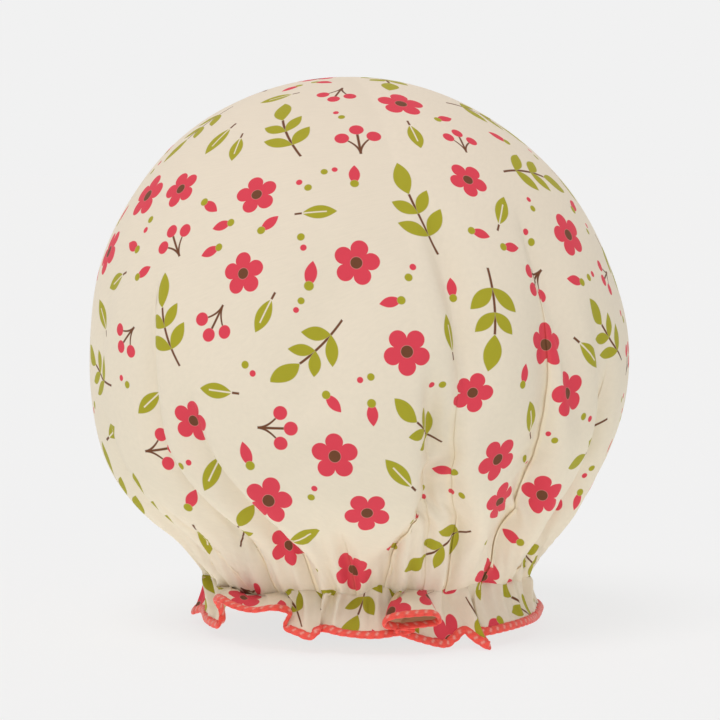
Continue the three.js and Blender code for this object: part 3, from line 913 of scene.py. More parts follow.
def kept_reading(tree, name):
    """The value that the piece's mesh keeps under a name."""
    node = tree.nodes.new("ShaderNodeAttribute")
    node.attribute_name = name
    return Reading(tree, node.outputs["Fac"])


def add_bump(tree, shader, height, distance, strength):
    """Lets a height value stand out of the surface by that distance."""
    bump = tree.nodes.new("ShaderNodeBump")
    bump.inputs["Distance"].default_value = distance
    bump.inputs["Strength"].default_value = strength
    tree.links.new(height, bump.inputs["Height"])
    tree.links.new(bump.outputs[0], shader.inputs["Normal"])


def place_group(tree, group, place):
    """A node group put into a material and fed with a place on the surface."""
    node = tree.nodes.new("ShaderNodeGroup")
    node.node_tree = group
    tree.links.new(place, node.inputs["Place"])
    return node


COTTON_FINISH = {"Roughness": 0.78, "Specular IOR Level": 0.3, "Sheen Weight": 0.05, "Sheen Roughness": 0.4}
# Painted shade: the cloth's colour is multiplied by this where the slub noise, and so the weave's relief, is
# lowest.
SLUB_SHADE = 0.93
WEAVE_RELIEF = 0.00012
WEAVE_STRENGTH = 0.35


def printed_cotton(name, cloth, strength):
    """Cream cotton with the print at a given strength, with painted shade in the hollows between slubs, a
    painted warm glow in the creases that stands in for light coming through and bouncing there, and a fine
    weave."""
    material, tree, shader = new_material(name, COTTON_FINISH)
    weave = place_group(tree, PLAIN_WEAVE, map_reading(tree, CLOTH_MAP))
    shade = tuple(SLUB_SHADE * value for value in cloth[:3]) + (1.0,)
    ground = mix_colours(tree, weave.outputs["Slub"], shade, cloth)
    crease = kept_reading(tree, CREASE)
    shader.inputs["Emission Color"].default_value = CREASE_LIGHT
    tree.links.new((crease * CREASE_LIGHT_STRENGTH).socket, shader.inputs["Emission Strength"])
    painted_glow = crease.math("MULTIPLY", CREASE_GLOW_SHARE, clamp=True)
    ground = mix_colours(tree, painted_glow, ground, CREASE_GLOW)
    drawn = place_group(tree, GARDEN_PRINT, map_reading(tree, PRINT_MAP))
    drawn.inputs["Strength"].default_value = strength
    tree.links.new(ground, drawn.inputs["Cloth"])
    tree.links.new(drawn.outputs["Colour"], shader.inputs["Base Color"])
    add_bump(tree, shader, weave.outputs["Height"], WEAVE_RELIEF, WEAVE_STRENGTH)
    return material


FACE_STRENGTH = 1.0
REVERSE_STRENGTH = 0.35
PRINTED_FACE = printed_cotton("printed_cotton_face", CREAM, FACE_STRENGTH)
PRINTED_REVERSE_SHADED = printed_cotton("printed_cotton_reverse_shaded", SHADED_REVERSE_CREAM, REVERSE_STRENGTH)

Stamp = namedtuple("Stamp", "down turn motif slope size")
SCATTER_TRIES = 60
SCATTER_GAP = 0.0012
SPINE_DISCS = 3
LEAST_SIZE = 0.9
MOST_SIZE = 1.12


def scatter(pick, locate, share, seed):
    """Motifs thrown on the cloth one kind after another, largest first. Each is a short row of discs along
    its length, and it stays only where its discs touch no others. locate gives points in space for a place
    on the cloth and steps across and up from it."""
    draw = np.random.default_rng(seed)
    taken = np.zeros((0, 3))
    reaches = np.zeros(0)
    stamps = []
    for number, motif in enumerate(MOTIFS):
        count = round(motif.count * share)
        wanted = len(stamps) + count
        spine = np.linspace(-1, 1, SPINE_DISCS) * (motif.half_length - motif.half_width)
        for _ in range(SCATTER_TRIES * count):
            if len(stamps) == wanted:
                break
            down, turn = pick(draw)
            slope = draw.uniform(0, FULL_TURN)
            size = draw.uniform(LEAST_SIZE, MOST_SIZE)
            discs = locate(down, turn, -spine * size * math.sin(slope), spine * size * math.cos(slope))
            apart = np.linalg.norm(discs[:, None] - taken[None], axis=2) - reaches
            if apart.size and apart.min() < motif.half_width * size + SCATTER_GAP:
                continue
            taken = np.concatenate([taken, discs])
            reaches = np.append(reaches, np.full(len(discs), motif.half_width * size))
            stamps.append(Stamp(down, turn, number, slope, size))
    return stamps


def nearest_turn(turn):
    """A turn brought to between minus and plus half a turn."""
    return np.mod(turn + math.pi, FULL_TURN) - math.pi


def unrolled(stamp_down, stamp_turn, radius, flare, down, turn):
    """A place measured from a stamp's middle on the cone that touches the cloth along the stamp's ring, laid
    flat. The cone's slant to the ring is the ring's radius over its flare."""
    slant = radius / flare
    angle = nearest_turn(turn - stamp_turn) * flare
    reach = slant + down - stamp_down
    return reach * np.sin(angle), slant - reach * np.cos(angle)


FLARE_SPAN = 0.012
LEAST_FLARE = 0.001
LEAST_RADIUS = 1e-4


def map_print(mesh, stamps, runs, rounds, down, turn):
    """Two UV maps: the cloth's own flat lengths, and for each face the place on its nearest motif.
    runs and rounds give the cut cloth's length round at each length down; down and turn are a vertex's."""
    loops = np.zeros(len(mesh.loops), np.int32)
    mesh.loops.foreach_get("vertex_index", loops)
    sizes = np.zeros(len(mesh.polygons), np.int32)
    mesh.polygons.foreach_get("loop_total", sizes)
    owner = np.repeat(np.arange(len(sizes)), sizes)
    starts = np.concatenate([[0], np.cumsum(sizes)[:-1]])
    loop_down = down[loops]
    face_turn = turn[loops][starts]
    loop_turn = face_turn[owner] + nearest_turn(turn[loops] - face_turn[owner])
    middle_down = np.add.reduceat(loop_down, starts) / sizes
    middle_turn = np.add.reduceat(loop_turn, starts) / sizes
    radii = rounds / FULL_TURN
    stamp_down, stamp_turn, motif, slope, size = (np.array(column) for column in zip(*stamps))
    motif = motif.astype(int)
    radius = np.maximum(np.interp(stamp_down, runs, radii), LEAST_RADIUS)
    low = stamp_down - FLARE_SPAN
    high = stamp_down + FLARE_SPAN
    rise = np.interp(high, runs, radii) - np.interp(low, runs, radii)
    flare = rise / (np.minimum(high, runs[-1]) - np.maximum(low, runs[0]))
    flare = np.where(np.abs(flare) < LEAST_FLARE, LEAST_FLARE, flare)
    best = np.full(len(sizes), np.inf)
    chosen = np.zeros(len(sizes), int)
    for k in range(len(stamps)):
        x, y = unrolled(stamp_down[k], stamp_turn[k], radius[k], flare[k], middle_down, middle_turn)
        wide = MOTIFS[motif[k]].half_width * size[k]
        long = MOTIFS[motif[k]].half_length * size[k]
        across, along = turned(x, y, slope[k])
        away = (np.hypot(across / wide, along / long) - 1) * math.sqrt(wide * long)
        nearer = away < best
        best = np.where(nearer, away, best)
        chosen = np.where(nearer, k, chosen)
    pick = chosen[owner]
    x, y = unrolled(stamp_down[pick], stamp_turn[pick], radius[pick], flare[pick], loop_down, loop_turn)
    across, along = turned(x, y, slope[pick])
    flat_round = loop_turn * np.interp(loop_down, runs, radii)
    maps = {CLOTH_MAP: (flat_round, loop_down),
            PRINT_MAP: (across / size[pick] + motif[pick] * MOTIF_STEP, along / size[pick])}
    for name, (u, v) in maps.items():
        layer = mesh.uv_layers.new(name=name)
        layer.data.foreach_set("uv", np.stack([u, v], axis=-1).ravel())


def grid_mesh(name, points, closed_rows=False, pole=False):
    """A mesh of quads over a grid whose columns close round; its rows may close too, or end in a fan at the
    pole."""
    rows, columns = points.shape[:2]
    index = np.arange(rows * columns).reshape(rows, columns)
    below = np.roll(index, -1, axis=0) if closed_rows else index[1:]
    above = index if closed_rows else index[:-1]
    quads = np.stack([above, below, np.roll(below, -1, axis=1), np.roll(above, -1, axis=1)], axis=-1)
    faces = quads.reshape(-1, 4).tolist()
    places = points.reshape(-1, 3)
    if pole:
        top = np.full(columns, len(places))
        faces += np.stack([top, index[0], np.roll(index[0], -1)], axis=-1).tolist()
        places = np.concatenate([places, points[0].mean(axis=0, keepdims=True)])
    return smooth_mesh(name, places, faces)


def smooth_mesh(name, places, faces):
    """A mesh of points and faces, shaded smooth."""
    mesh = bpy.data.meshes.new(name)
    mesh.from_pydata(places.tolist(), [], faces)
    mesh.polygons.foreach_set("use_smooth", np.ones(len(mesh.polygons), bool))
    return mesh


def keep_reading(mesh, name, values):
    """A value at each vertex that a material can read by its name."""
    layer = mesh.attributes.new(name, "FLOAT", "POINT")
    layer.data.foreach_set("value", np.asarray(values, np.float32).ravel())


def put(name, data):
    """A new object in the scene, at the origin."""
    thing = bpy.data.objects.new(name, data)
    bpy.context.scene.collection.objects.link(thing)
    return thing


def add_piece(name, mesh, *materials):
    """Puts a finished mesh into the scene as a piece that rides on the cap."""
    piece = put(name, mesh)
    for material in materials:
        mesh.materials.append(material)
    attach(piece, "root")
    return piece


def thicken(piece, thickness, reverse=0):
    """Gives a sheet its thickness on the inner side; reverse picks another material for that side."""
    wall = piece.modifiers.new("cloth_thickness", "SOLIDIFY")
    wall.thickness = thickness
    wall.offset = -1
    wall.material_offset = reverse
    return piece


CLOTH_THICKNESS = 0.0004
CROWN_SHARE = 1
CROWN_SEED = 5
NEAR_POLE = 0.01

cut_runs = np.concatenate([[0], np.cumsum(thread_down.ravel())]) + CROWN_RADIUS * POLE_ANGLE
band_runs = cut_runs[-1] + (NECK - CASING_BOTTOM) * np.arange(1, BAND_ROWS + 1) / BAND_ROWS
crown_runs = np.concatenate([[0], cut_runs, band_runs])
crown_rounds = np.concatenate([[0], cut_rounds, np.full(BAND_ROWS, cut_rounds[-1])])
crown_heights = np.concatenate([[crown_high.z], plain_height, np.linspace(NECK, CASING_BOTTOM, BAND_ROWS)])


def pick_on_crown(draw):
    """A place drawn evenly over the crown's cloth: longer rounds are drawn more often."""
    while True:
        down = draw.uniform(0, crown_runs[-1])
        if draw.uniform(0, crown_rounds.max()) < np.interp(down, crown_runs, crown_rounds):
            return down, draw.uniform(0, FULL_TURN)


def locate_on_crown(down, turn, across, up):
    """Points of the cut dome that lie across and up from a place on it."""
    radius = np.interp(down - up, crown_runs, crown_rounds) / FULL_TURN
    angle = turn + across / max(np.interp(down, crown_runs, crown_rounds) / FULL_TURN, NEAR_POLE)
    height = np.interp(down - up, crown_runs, crown_heights)
    return np.stack([radius * np.sin(angle), radius * np.cos(angle), height], axis=-1)


crown_mesh = grid_mesh("crown_cloth", crown_points, pole=True)
vertex_down = np.append(np.repeat(crown_runs[1:], CROWN_COLUMNS), 0)
vertex_turn = np.append(crown_turns.ravel(), 0)
crown_stamps = scatter(pick_on_crown, locate_on_crown, CROWN_SHARE, CROWN_SEED)
map_print(crown_mesh, crown_stamps, crown_runs, crown_rounds, vertex_down, vertex_turn)
# How deep each point lies in a crease: the cloth's material paints a warm glow there.
keep_reading(crown_mesh, CREASE, np.append(crown_crease.ravel(), 0))
crown_cloth = thicken(add_piece("crown_cloth", crown_mesh, PRINTED_FACE), CLOTH_THICKNESS)
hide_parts("crown")

# Lining
# The lining is a thin waterproof film cut like the crown and caught with it in the casing.
# It lies loose just inside the cotton and takes the same folds.
LINING_GAP = 0.0042
LINING_THICKNESS = 0.00015
LINING_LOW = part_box("lining")[0].z
FILM = linear(233, 231, 224)
FILM_SHADE = linear(214, 211, 203)
FILM_FINISH = {"Roughness": 0.38, "Coat Weight": 0.15, "Coat Roughness": 0.25}
CLOUD_SCALE = 24
CLOUD_DETAIL = 2
CRINKLE_SCALE = 55
CRINKLE_RELIEF = 0.0012
CRINKLE_STRENGTH = 0.4


def object_place(tree):
    """The place on the piece in its own space."""
    return tree.nodes.new("ShaderNodeTexCoord").outputs["Object"]


def film_lining():
    """Cloudy film with a soft gloss and shallow crinkles from having been folded."""
    material, tree, shader = new_material("lining_film", FILM_FINISH)
    place = object_place(tree)
    crinkle = tree.nodes.new("ShaderNodeTexVoronoi")
    crinkle.feature = "SMOOTH_F1"
    crinkle.inputs["Scale"].default_value = CRINKLE_SCALE
    tree.links.new(place, crinkle.inputs["Vector"])
    cloud = noise_reading(tree, place, CLOUD_SCALE, CLOUD_DETAIL)
    tree.links.new(mix_colours(tree, cloud, FILM_SHADE, FILM), shader.inputs["Base Color"])
    add_bump(tree, shader, crinkle.outputs["Distance"], CRINKLE_RELIEF, CRINKLE_STRENGTH)
    return material


lining_rows = soft_crown[:, :, 2].mean(axis=1) > LINING_LOW
lining_points = (soft_crown - LINING_GAP * grid_normals(soft_crown))[lining_rows]
lining_film = add_piece("lining_film", grid_mesh("lining_film", lining_points, pole=True), film_lining())
thicken(lining_film, LINING_THICKNESS)
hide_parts("lining")

# Frill
# The frill is a straight strip of the same cotton, gathered along its top edge and sewn in under the casing.
# It hangs single and unlined, so its lobes lean out, curl and show the reverse of the print, whose darker tan
# tint is painted shade.
FRILL_COLUMNS = 900
FRILL_ROWS = 18
FRILL_WIDTH = 0.0245
FRILL_SHARE = 0.35
FRILL_SEED = 11
FRILL_CREASE = 0.5
FLARE_POWER = 1.35
FLARE = 0.0007
FOLD_OPENS = 0.55
DROOP = 0.0016
DROOP_LEVEL = 0.017
DROOP_SPAN = 0.004
RUFFLE = 0.0020
RUFFLE_SINK = 0.25
SEAM_SHARE = 0.06
SEAM_SINK = 0.0015
NECK_SINK = 0.0002
SINK_SLOPE = 0.7
MEAN_SPAN = 20

# Where the hem hangs, station by station round the cap: the place on the neck that the strip hangs from and
# the hem's own place, both in degrees from the front, the hem's distance from the axis and its height.
Hang = namedtuple("Hang", "neck hem reach level")
FRONT_HANGS = [
    Hang(-92, -90, 0.0868, 0.0082),
    Hang(-84, -76, 0.0868, 0.0068),
    Hang(-77, -66, 0.0878, 0.0062),
    Hang(-72, -60, 0.0880, 0.0070),
    Hang(-68, -60, 0.0870, 0.0140),
    Hang(-64, -56, 0.0940, 0.0215),
    Hang(-58, -49, 0.1000, 0.0235),
    Hang(-50, -41, 0.1030, 0.0215),
    Hang(-43, -34, 0.1030, 0.0205),
    Hang(-37, -28, 0.1000, 0.0220),
    Hang(-33, -25, 0.0930, 0.0190),
    Hang(-30, -26, 0.0950, 0.0125),
    Hang(-25, -21, 0.0970, 0.0095),
    Hang(-20, -17, 0.0980, 0.0080),
    Hang(-17, -15, 0.0950, 0.0110),
    Hang(-15, -17, 0.0890, 0.0105),
    Hang(-11, -13, 0.0930, 0.0115),
    Hang(-6, -8, 0.0970, 0.0105),
    Hang(0, 0, 0.0990, 0.0095),
    Hang(6, 6, 0.0980, 0.0100),
    Hang(10, 14, 0.0950, 0.0120),
    Hang(12, 5, 0.1010, 0.0150),
    Hang(14, 6, 0.1050, 0.0195),
    Hang(17, 13, 0.1060, 0.0212),
    Hang(20, 19, 0.1050, 0.0205),
    Hang(22, 20, 0.1010, 0.0155),
    Hang(24, 8, 0.0980, 0.0125),
    Hang(26, 23, 0.0920, 0.0030),
    Hang(29, 29, 0.0910, 0.0050),
    Hang(32, 33, 0.0900, 0.0085),
    Hang(34, 34.5, 0.0950, 0.0050),
    Hang(36, 36.5, 0.1030, 0.0013),
    Hang(38, 38.5, 0.0950, 0.0045),
    Hang(40, 41, 0.0870, 0.0080),
    Hang(43, 39, 0.0930, 0.0070),
    Hang(52, 50, 0.0940, 0.0080),
    Hang(62, 61, 0.0935, 0.0086),
    Hang(75, 75, 0.0905, 0.0078),
    Hang(90, 89, 0.0905, 0.0080),
    Hang(104, 103, 0.0940, 0.0085),
]
BACK_HANGS = 21
BACK_REACH = 0.0915
HANG_ENDS = 2
HANG_SWAYS = {
    "shift": Sway(0, 2.5, 2.1),
    "swing": Sway(0, 0.0065, 0.78 * math.pi),
    "level": Sway(0.0068, 0.0052, 1.9, 1.2),
}


def back_hangs():
    """Stations at even steps round the back: the hem swings out and in from one to the next, less near both
    ends, and it rises and falls, all swayed by the station's number."""
    start = FRONT_HANGS[-1].neck
    stop = FRONT_HANGS[0].neck + 360
    hangs = []
    for k in range(1, BACK_HANGS + 1):
        size = swayed(HANG_SWAYS, k)
        share = k / (BACK_HANGS + 1)
        neck = start + (stop - start) * share
        reach = BACK_REACH + size["swing"] * min(1, HANG_ENDS * math.sin(math.pi * share))
        hangs.append(Hang(neck, neck + size["shift"], reach, size["level"]))
    return hangs


HANGS = FRONT_HANGS + back_hangs()


def through_stations(places, stations, values, period):
    """A closed curve through values at stations: between two of them a cubic whose slope at each station is
    that of the line from the one before it to the one after it."""
    count = len(stations)
    before = np.roll(stations, 1)
    before[0] -= period
    after = np.roll(stations, -1)
    after[-1] += period
    slope = (np.roll(values, -1, axis=0) - np.roll(values, 1, axis=0)) / (after - before)[:, None]
    low = np.clip(np.searchsorted(stations, places, side="right") - 1, 0, count - 1)
    high = (low + 1) % count
    span = (after - stations)[low][:, None]
    share = (places[:, None] - stations[low][:, None]) / span
    turn = share * share * (3 - 2 * share)
    ease_in = share * (1 - share) ** 2 * span
    ease_out = share ** 2 * (share - 1) * span
    return values[low] * (1 - turn) + values[high] * turn + slope[low] * ease_in + slope[high] * ease_out


def frill_surface(edge):
    """The strip hung from the neck: the hem is a closed curve through the stations, and each column falls
    evenly to it. The hem's mean flare grows slowly from the neck, but its folds open fast just below it, and
    the neck's gathers run on as ruffles; lifted columns droop, and the rest belly out. A seam allowance goes
    up behind the crown, and no point goes further in than a slope that starts at the casing's lower edge."""
    middle = np.array([CASING_MIDDLE_X, 0, 0])
    level_only = np.array([1, 1, 0])
    upright = np.array([0, 0, 1])
    neck = np.array([hang.neck for hang in HANGS], float)
    around = np.radians([hang.hem for hang in HANGS])
    reach = np.array([hang.reach for hang in HANGS])
    level = np.array([hang.level for hang in HANGS])
    hem_path = np.stack([reach * np.sin(around), -PLAN_RATIO * reach * np.cos(around), level], axis=-1)
    azimuth = neck[0] + np.mod(np.degrees(plan_place(edge)[0]) - neck[0], 360)
    hem = middle + through_stations(azimuth, neck, hem_path, 360)
    away = unit((edge - middle) * level_only)
    chord = hem - edge
    flare = np.sum(chord * away, axis=-1)
    steady = round(MEAN_SPAN / 360 * len(edge))
    span = range(-steady, steady + 1)
    even = (sum(np.roll(flare, step) for step in span) / len(span))[:, None] * away
    fold = (chord - even) * level_only
    share = np.linspace(-SEAM_SHARE, 1, FRILL_ROWS)[:, None, None]
    hung = np.maximum(share, 0)
    seam = SEAM_SINK * np.maximum(-share, 0) / SEAM_SHARE
    lifted = smooth_step(DROOP_LEVEL - DROOP_SPAN, DROOP_LEVEL + DROOP_SPAN, hem[:, 2:])
    sag = lifted * DROOP * upright - (1 - lifted) * FLARE * away
    ruffle = RUFFLE * np.minimum(gathers(np.radians(azimuth)), RUFFLE_SINK)[:, None] * away
    points = (edge + hung ** FLARE_POWER * even + share * chord * upright + hung ** FOLD_OPENS * fold
              + 4 * hung * (1 - hung) * sag - np.sin(math.pi * np.sqrt(hung)) * ruffle)
    outward = np.sum((points - edge) * away, axis=-1, keepdims=True)
    least = -NECK_SINK - SINK_SLOPE * np.maximum(CASING_BOTTOM - points[..., 2:], 0)
    return points + (np.maximum(outward, least) - outward - seam) * away


frill_edge = even_columns(soft_crown[-1:], FRILL_COLUMNS)[0]
frill_points = frill_surface(frill_edge)
hem_runs = row_lengths(frill_points)[-1]
hem_length = hem_runs[-1]
hem_turn = hem_runs[:-1] / hem_length * FULL_TURN
frill_mesh = grid_mesh("frill_cloth", frill_points)
frill_runs = np.linspace(0, FRILL_WIDTH, FRILL_ROWS)
frill_rounds = np.full(FRILL_ROWS, hem_length)


def pick_on_frill(draw):
    """A place drawn evenly over the strip."""
    return draw.uniform(0, FRILL_WIDTH), draw.uniform(0, FULL_TURN)


def locate_on_frill(down, turn, across, up):
    """Points of the flat strip that lie across and up from a place on it."""
    run = turn * hem_length / FULL_TURN + across
    return np.stack([run, up - down, 0 * run], axis=-1)


frill_stamps = scatter(pick_on_frill, locate_on_frill, FRILL_SHARE, FRILL_SEED)
map_print(frill_mesh, frill_stamps, frill_runs, frill_rounds,
          np.repeat(frill_runs, FRILL_COLUMNS), np.tile(hem_turn, FRILL_ROWS))
# How deep the frill's top lies in the neck's gathers, fading towards the hem: the cloth's material paints a
# warm glow there.
frill_valley = np.maximum(gathers(plan_place(frill_edge)[0]), 0) ** 2
frill_fade = (1 - np.linspace(0, 1, FRILL_ROWS)[:, None]) ** 2
keep_reading(frill_mesh, CREASE, FRILL_CREASE * frill_fade * frill_valley)
frill_cloth = add_piece("frill_cloth", frill_mesh, PRINTED_FACE, PRINTED_REVERSE_SHADED)
thicken(frill_cloth, CLOTH_THICKNESS, reverse=1)
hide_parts("frill")

# Hem overlock
# The frill's lower edge is overlocked with thick coral thread, which wraps the edge in slanting turns side by
# side. The thread is bulky and soft, and pale core shows between the turns.
HEM_PITCH = 0.0048
HEM_SAMPLES = 12
HEM_SIDES = 14
HEM_HALF_DEPTH = 0.0024
HEM_HALF_WIDTH = 0.0011
HEM_SIT = 0.0011
HEM_GROOVE = 0.13
HEM_SLANT = 0.9
RIDGE_ROUNDING = 0.7
CORE_LENGTH = 0.14
CORE_WIDTH = 0.40
CORE_SHOWS = 0.85
CORAL = linear(248, 84, 70)
# Deep coral: painted shade in the grooves between the thread's turns, and also the darker fibres of its
# random fuzz.
CORAL_DEEP = linear(206, 38, 38)
CORAL_PALE = linear(255, 206, 190)
CORAL_FINISH = {"Roughness": 0.62, "Sheen Weight": 0.3, "Sheen Roughness": 0.4}
GROOVE_SOFTNESS = 0.5
FIBRE_SCALE = 1500
FIBRE_DETAIL = 3
FIBRE_MEAN = 0.5
FIBRE_SHADE = 1.5
FIBRE_RELIEF = 0.0005
FIBRE_STRENGTH = 0.5
THREAD_RIDGE = "thread_ridge"
THREAD_CORE = "thread_core"


def circle(sides):
    """Angles at even steps round a full turn."""
    return FULL_TURN * np.arange(sides) / sides


def hem_surface(cloth):
    """An oval tube along the hem with the cloth's edge inside it. Its radius swells and dips with the running
    length plus a share of the angle round it, so that the swellings lie as slanting turns of thread."""
    runs = row_lengths(cloth[-1:])[0]
    count = round(runs[-1] / HEM_PITCH) * HEM_SAMPLES
    places = np.interp(runs[-1] * np.arange(count) / count, runs, np.arange(len(runs)))
    edge = at_columns(cloth[-1:], places[None])[0]
    above = at_columns(cloth[-3:-2], places[None])[0]
    ahead = unit(np.roll(edge, -2, axis=0) - np.roll(edge, 2, axis=0))
    fall = edge - above
    fall = unit(fall - np.sum(fall * ahead, axis=-1, keepdims=True) * ahead)
    face = np.cross(ahead, fall)
    round_angle = circle(HEM_SIDES)[None, :]
    phase = math.pi * (np.arange(count) / HEM_SAMPLES)[:, None] + HEM_SLANT * np.cos(round_angle)
    ridge = np.abs(np.sin(phase)) ** RIDGE_ROUNDING
    swell = 1 - HEM_GROOVE + HEM_GROOVE * ridge
    middle = edge - HEM_SIT * fall
    points = (middle[:, None] + (HEM_HALF_DEPTH * swell * np.cos(round_angle))[..., None] * fall[:, None]
              + (HEM_HALF_WIDTH * swell * np.sin(round_angle))[..., None] * face[:, None])
    from_groove = np.abs(np.mod(phase / math.pi + 0.5, 1) - 0.5)
    core = np.exp(-(from_groove / CORE_LENGTH) ** 2 - (np.cos(round_angle) / CORE_WIDTH) ** 2)
    return points, ridge, core


def fibre_group():
    """Fibre as a node group: a fine random height that changes from place to place."""
    group, entry, end = new_group(
        "fine_fibre",
        [("Place", "NodeSocketVector", None), ("Scale", "NodeSocketFloat", FIBRE_SCALE)],
        [("Height", "NodeSocketFloat")])
    fibre = noise_reading(group, entry.outputs["Place"], FIBRE_SCALE, FIBRE_DETAIL)
    group.links.new(entry.outputs["Scale"], fibre.socket.node.inputs["Scale"])
    group.links.new(fibre.socket, end.inputs["Height"])
    return group


FINE_FIBRE = fibre_group()


def fibre_reading(tree, scale):
    """The height of fine fibre over a piece, at that scale."""
    node = place_group(tree, FINE_FIBRE, object_place(tree))
    node.inputs["Scale"].default_value = scale
    return Reading(tree, node.outputs["Height"])


def coral_thread():
    """Bulky coral thread: deep red painted as shade in the grooves, pale where the core shows, and fine
    fibres all over.
    """
    material, tree, shader = new_material("coral_overlock_thread", CORAL_FINISH)
    fibre = fibre_reading(tree, FIBRE_SCALE)
    # Painted shade: the colour turns deep red towards the grooves between the turns.
    raised = kept_reading(tree, THREAD_RIDGE).math("POWER", GROOVE_SOFTNESS)
    fuzz = (fibre - FIBRE_MEAN).math("MULTIPLY", FIBRE_SHADE, clamp=True)
    body = mix_colours(tree, fuzz, mix_colours(tree, raised, CORAL_DEEP, CORAL), CORAL_DEEP)
    colour = mix_colours(tree, kept_reading(tree, THREAD_CORE) * CORE_SHOWS, body, CORAL_PALE)
    tree.links.new(colour, shader.inputs["Base Color"])
    add_bump(tree, shader, fibre.socket, FIBRE_RELIEF, FIBRE_STRENGTH)
    return material


hem_points, hem_ridge, hem_core = hem_surface(frill_points)
hem_mesh = grid_mesh("hem_overlock_thread", hem_points, closed_rows=True)
keep_reading(hem_mesh, THREAD_RIDGE, hem_ridge)
keep_reading(hem_mesh, THREAD_CORE, hem_core)
hem_thread = add_piece("hem_overlock_thread", hem_mesh, coral_thread())
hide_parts("hem_overlock")

# Elastic
# A flat knitted elastic runs once round inside the casing and laps over its own start at the back.
# Its lengthwise cords stand out as ribs.
elastic_low, elastic_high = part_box("elastic_band")
ELASTIC_EASE = 0.002
ELASTIC_RADIUS = (elastic_high.x - elastic_low.x) / 2 - ELASTIC_EASE
ELASTIC_THICKNESS = 0.0009
ELASTIC_LAP = 0.014
ELASTIC_RAMP = 0.026
ELASTIC_STEPS = 420
ELASTIC_SIDES = 60
ELASTIC_RIBS = 7
RIB_DEPTH = 0.2
FLAT_FACES = 0.6
SQUARE_EDGES = 0.35
LAP_GAP = 0.0003
LAP_STEP = ELASTIC_THICKNESS + LAP_GAP
ELASTIC_WHITE = linear(240, 237, 230)
ELASTIC_SHADE = linear(214, 209, 199)
ELASTIC_KNIT = 900
BAND_FINISH = {"Roughness": 0.8, "Sheen Weight": 0.15}
BAND_RELIEF = 0.0003
BAND_STRENGTH = 0.4


def squared_off(value, power):
    """A value between -1 and 1 brought nearer to its ends by a power below one, with its sign kept."""
    return np.sign(value) * np.abs(value) ** power


def elastic_surface():
    """A flat ribbed section carried round a circle from the back; near the end it steps in to lie on its
    start."""
    whole = FULL_TURN + ELASTIC_LAP / ELASTIC_RADIUS
    angle = np.linspace(0, whole, ELASTIC_STEPS)[:, None]
    step = LAP_STEP * smooth_step(FULL_TURN - ELASTIC_RAMP / ELASTIC_RADIUS, FULL_TURN, angle)
    around = circle(ELASTIC_SIDES)[None, :]
    half_height = (elastic_high.z - elastic_low.z) / 2
    level = squared_off(np.cos(around), FLAT_FACES)
    ribs = 1 - RIB_DEPTH + RIB_DEPTH * np.abs(np.cos(math.pi * ELASTIC_RIBS * level / 2))
    depth = ELASTIC_THICKNESS / 2 * squared_off(np.sin(around), SQUARE_EDGES) * ribs
    height = (elastic_low.z + elastic_high.z) / 2 + half_height * level + 0 * angle
    return plan(math.pi + angle + 0 * around, ELASTIC_RADIUS - ELASTIC_THICKNESS / 2 - step + depth, height)


def band_weave(name, pale, shade, scale):
    """A narrow woven or knitted band or a thread: fine grain all over, shaded in its hollows."""
    material, tree, shader = new_material(name, BAND_FINISH)
    grain = fibre_reading(tree, scale)
    tree.links.new(mix_colours(tree, grain, shade, pale), shader.inputs["Base Color"])
    add_bump(tree, shader, grain.socket, BAND_RELIEF, BAND_STRENGTH)
    return material


def close_ends(mesh, columns):
    """Flat faces over the two ends of a tube whose rows are its sections, all faces turned outwards."""
    shell = bmesh.new()
    shell.from_mesh(mesh)
    shell.verts.ensure_lookup_table()
    count = len(shell.verts)
    shell.faces.new([shell.verts[k] for k in range(columns)])
    shell.faces.new([shell.verts[k] for k in range(count - columns, count)])
    bmesh.ops.recalc_face_normals(shell, faces=shell.faces)
    shell.to_mesh(mesh)
    shell.free()
    return mesh


elastic_mesh = close_ends(grid_mesh("elastic_strip", elastic_surface()), ELASTIC_SIDES)
KNITTED_ELASTIC = band_weave("knitted_elastic", ELASTIC_WHITE, ELASTIC_SHADE, ELASTIC_KNIT)
elastic_strip = add_piece("elastic_strip", elastic_mesh, KNITTED_ELASTIC)
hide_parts("elastic_band")

# Elastic tack
# A zigzag of cream sewing thread goes back and forth across the lap and joins the two ends of the elastic.
# It is one thread, machine sewn, and lies on the elastic's inner face.
tack_low, tack_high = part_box("elastic_tack")
THREAD_RADIUS = 0.00025
THREAD_SIDES = 8
TACK_ZIGZAGS = 5
TACK_STEPS = 12
TACK_SHARPNESS = 0.97
THREAD_CREAM = linear(240, 230, 210)
THREAD_SHADE = linear(214, 200, 172)
THREAD_GRAIN = 2500


def thread_tube(path, radius):
    """A round thread along an open path: circles square to its direction."""
    ahead = unit(np.gradient(path, axis=0))
    aside = unit(np.cross(ahead, np.array([0.0, 1.0, 0.0])))[:, None]
    other = np.cross(ahead, aside[:, 0])[:, None]
    angle = circle(THREAD_SIDES)[None, :, None]
    return path[:, None] + radius * (np.cos(angle) * aside + np.sin(angle) * other)


def tack_path():
    """A rounded zigzag up and down the lap, on the inner face of the elastic."""
    share = np.linspace(0, 1, 2 * TACK_ZIGZAGS * TACK_STEPS)
    wave = TACK_SHARPNESS * np.sin(FULL_TURN * TACK_ZIGZAGS * share - math.pi / 2)
    swing = np.arcsin(wave) / math.asin(TACK_SHARPNESS)
    half = (tack_high.z - tack_low.z) / 2 - THREAD_RADIUS
    run = tack_low.x + THREAD_RADIUS + (tack_high.x - tack_low.x - 2 * THREAD_RADIUS) * share
    middle = np.full_like(share, (tack_low.y + tack_high.y) / 2 - ELASTIC_EASE * PLAN_RATIO)
    return np.stack([run, middle, (tack_low.z + tack_high.z) / 2 + half * swing], axis=-1)


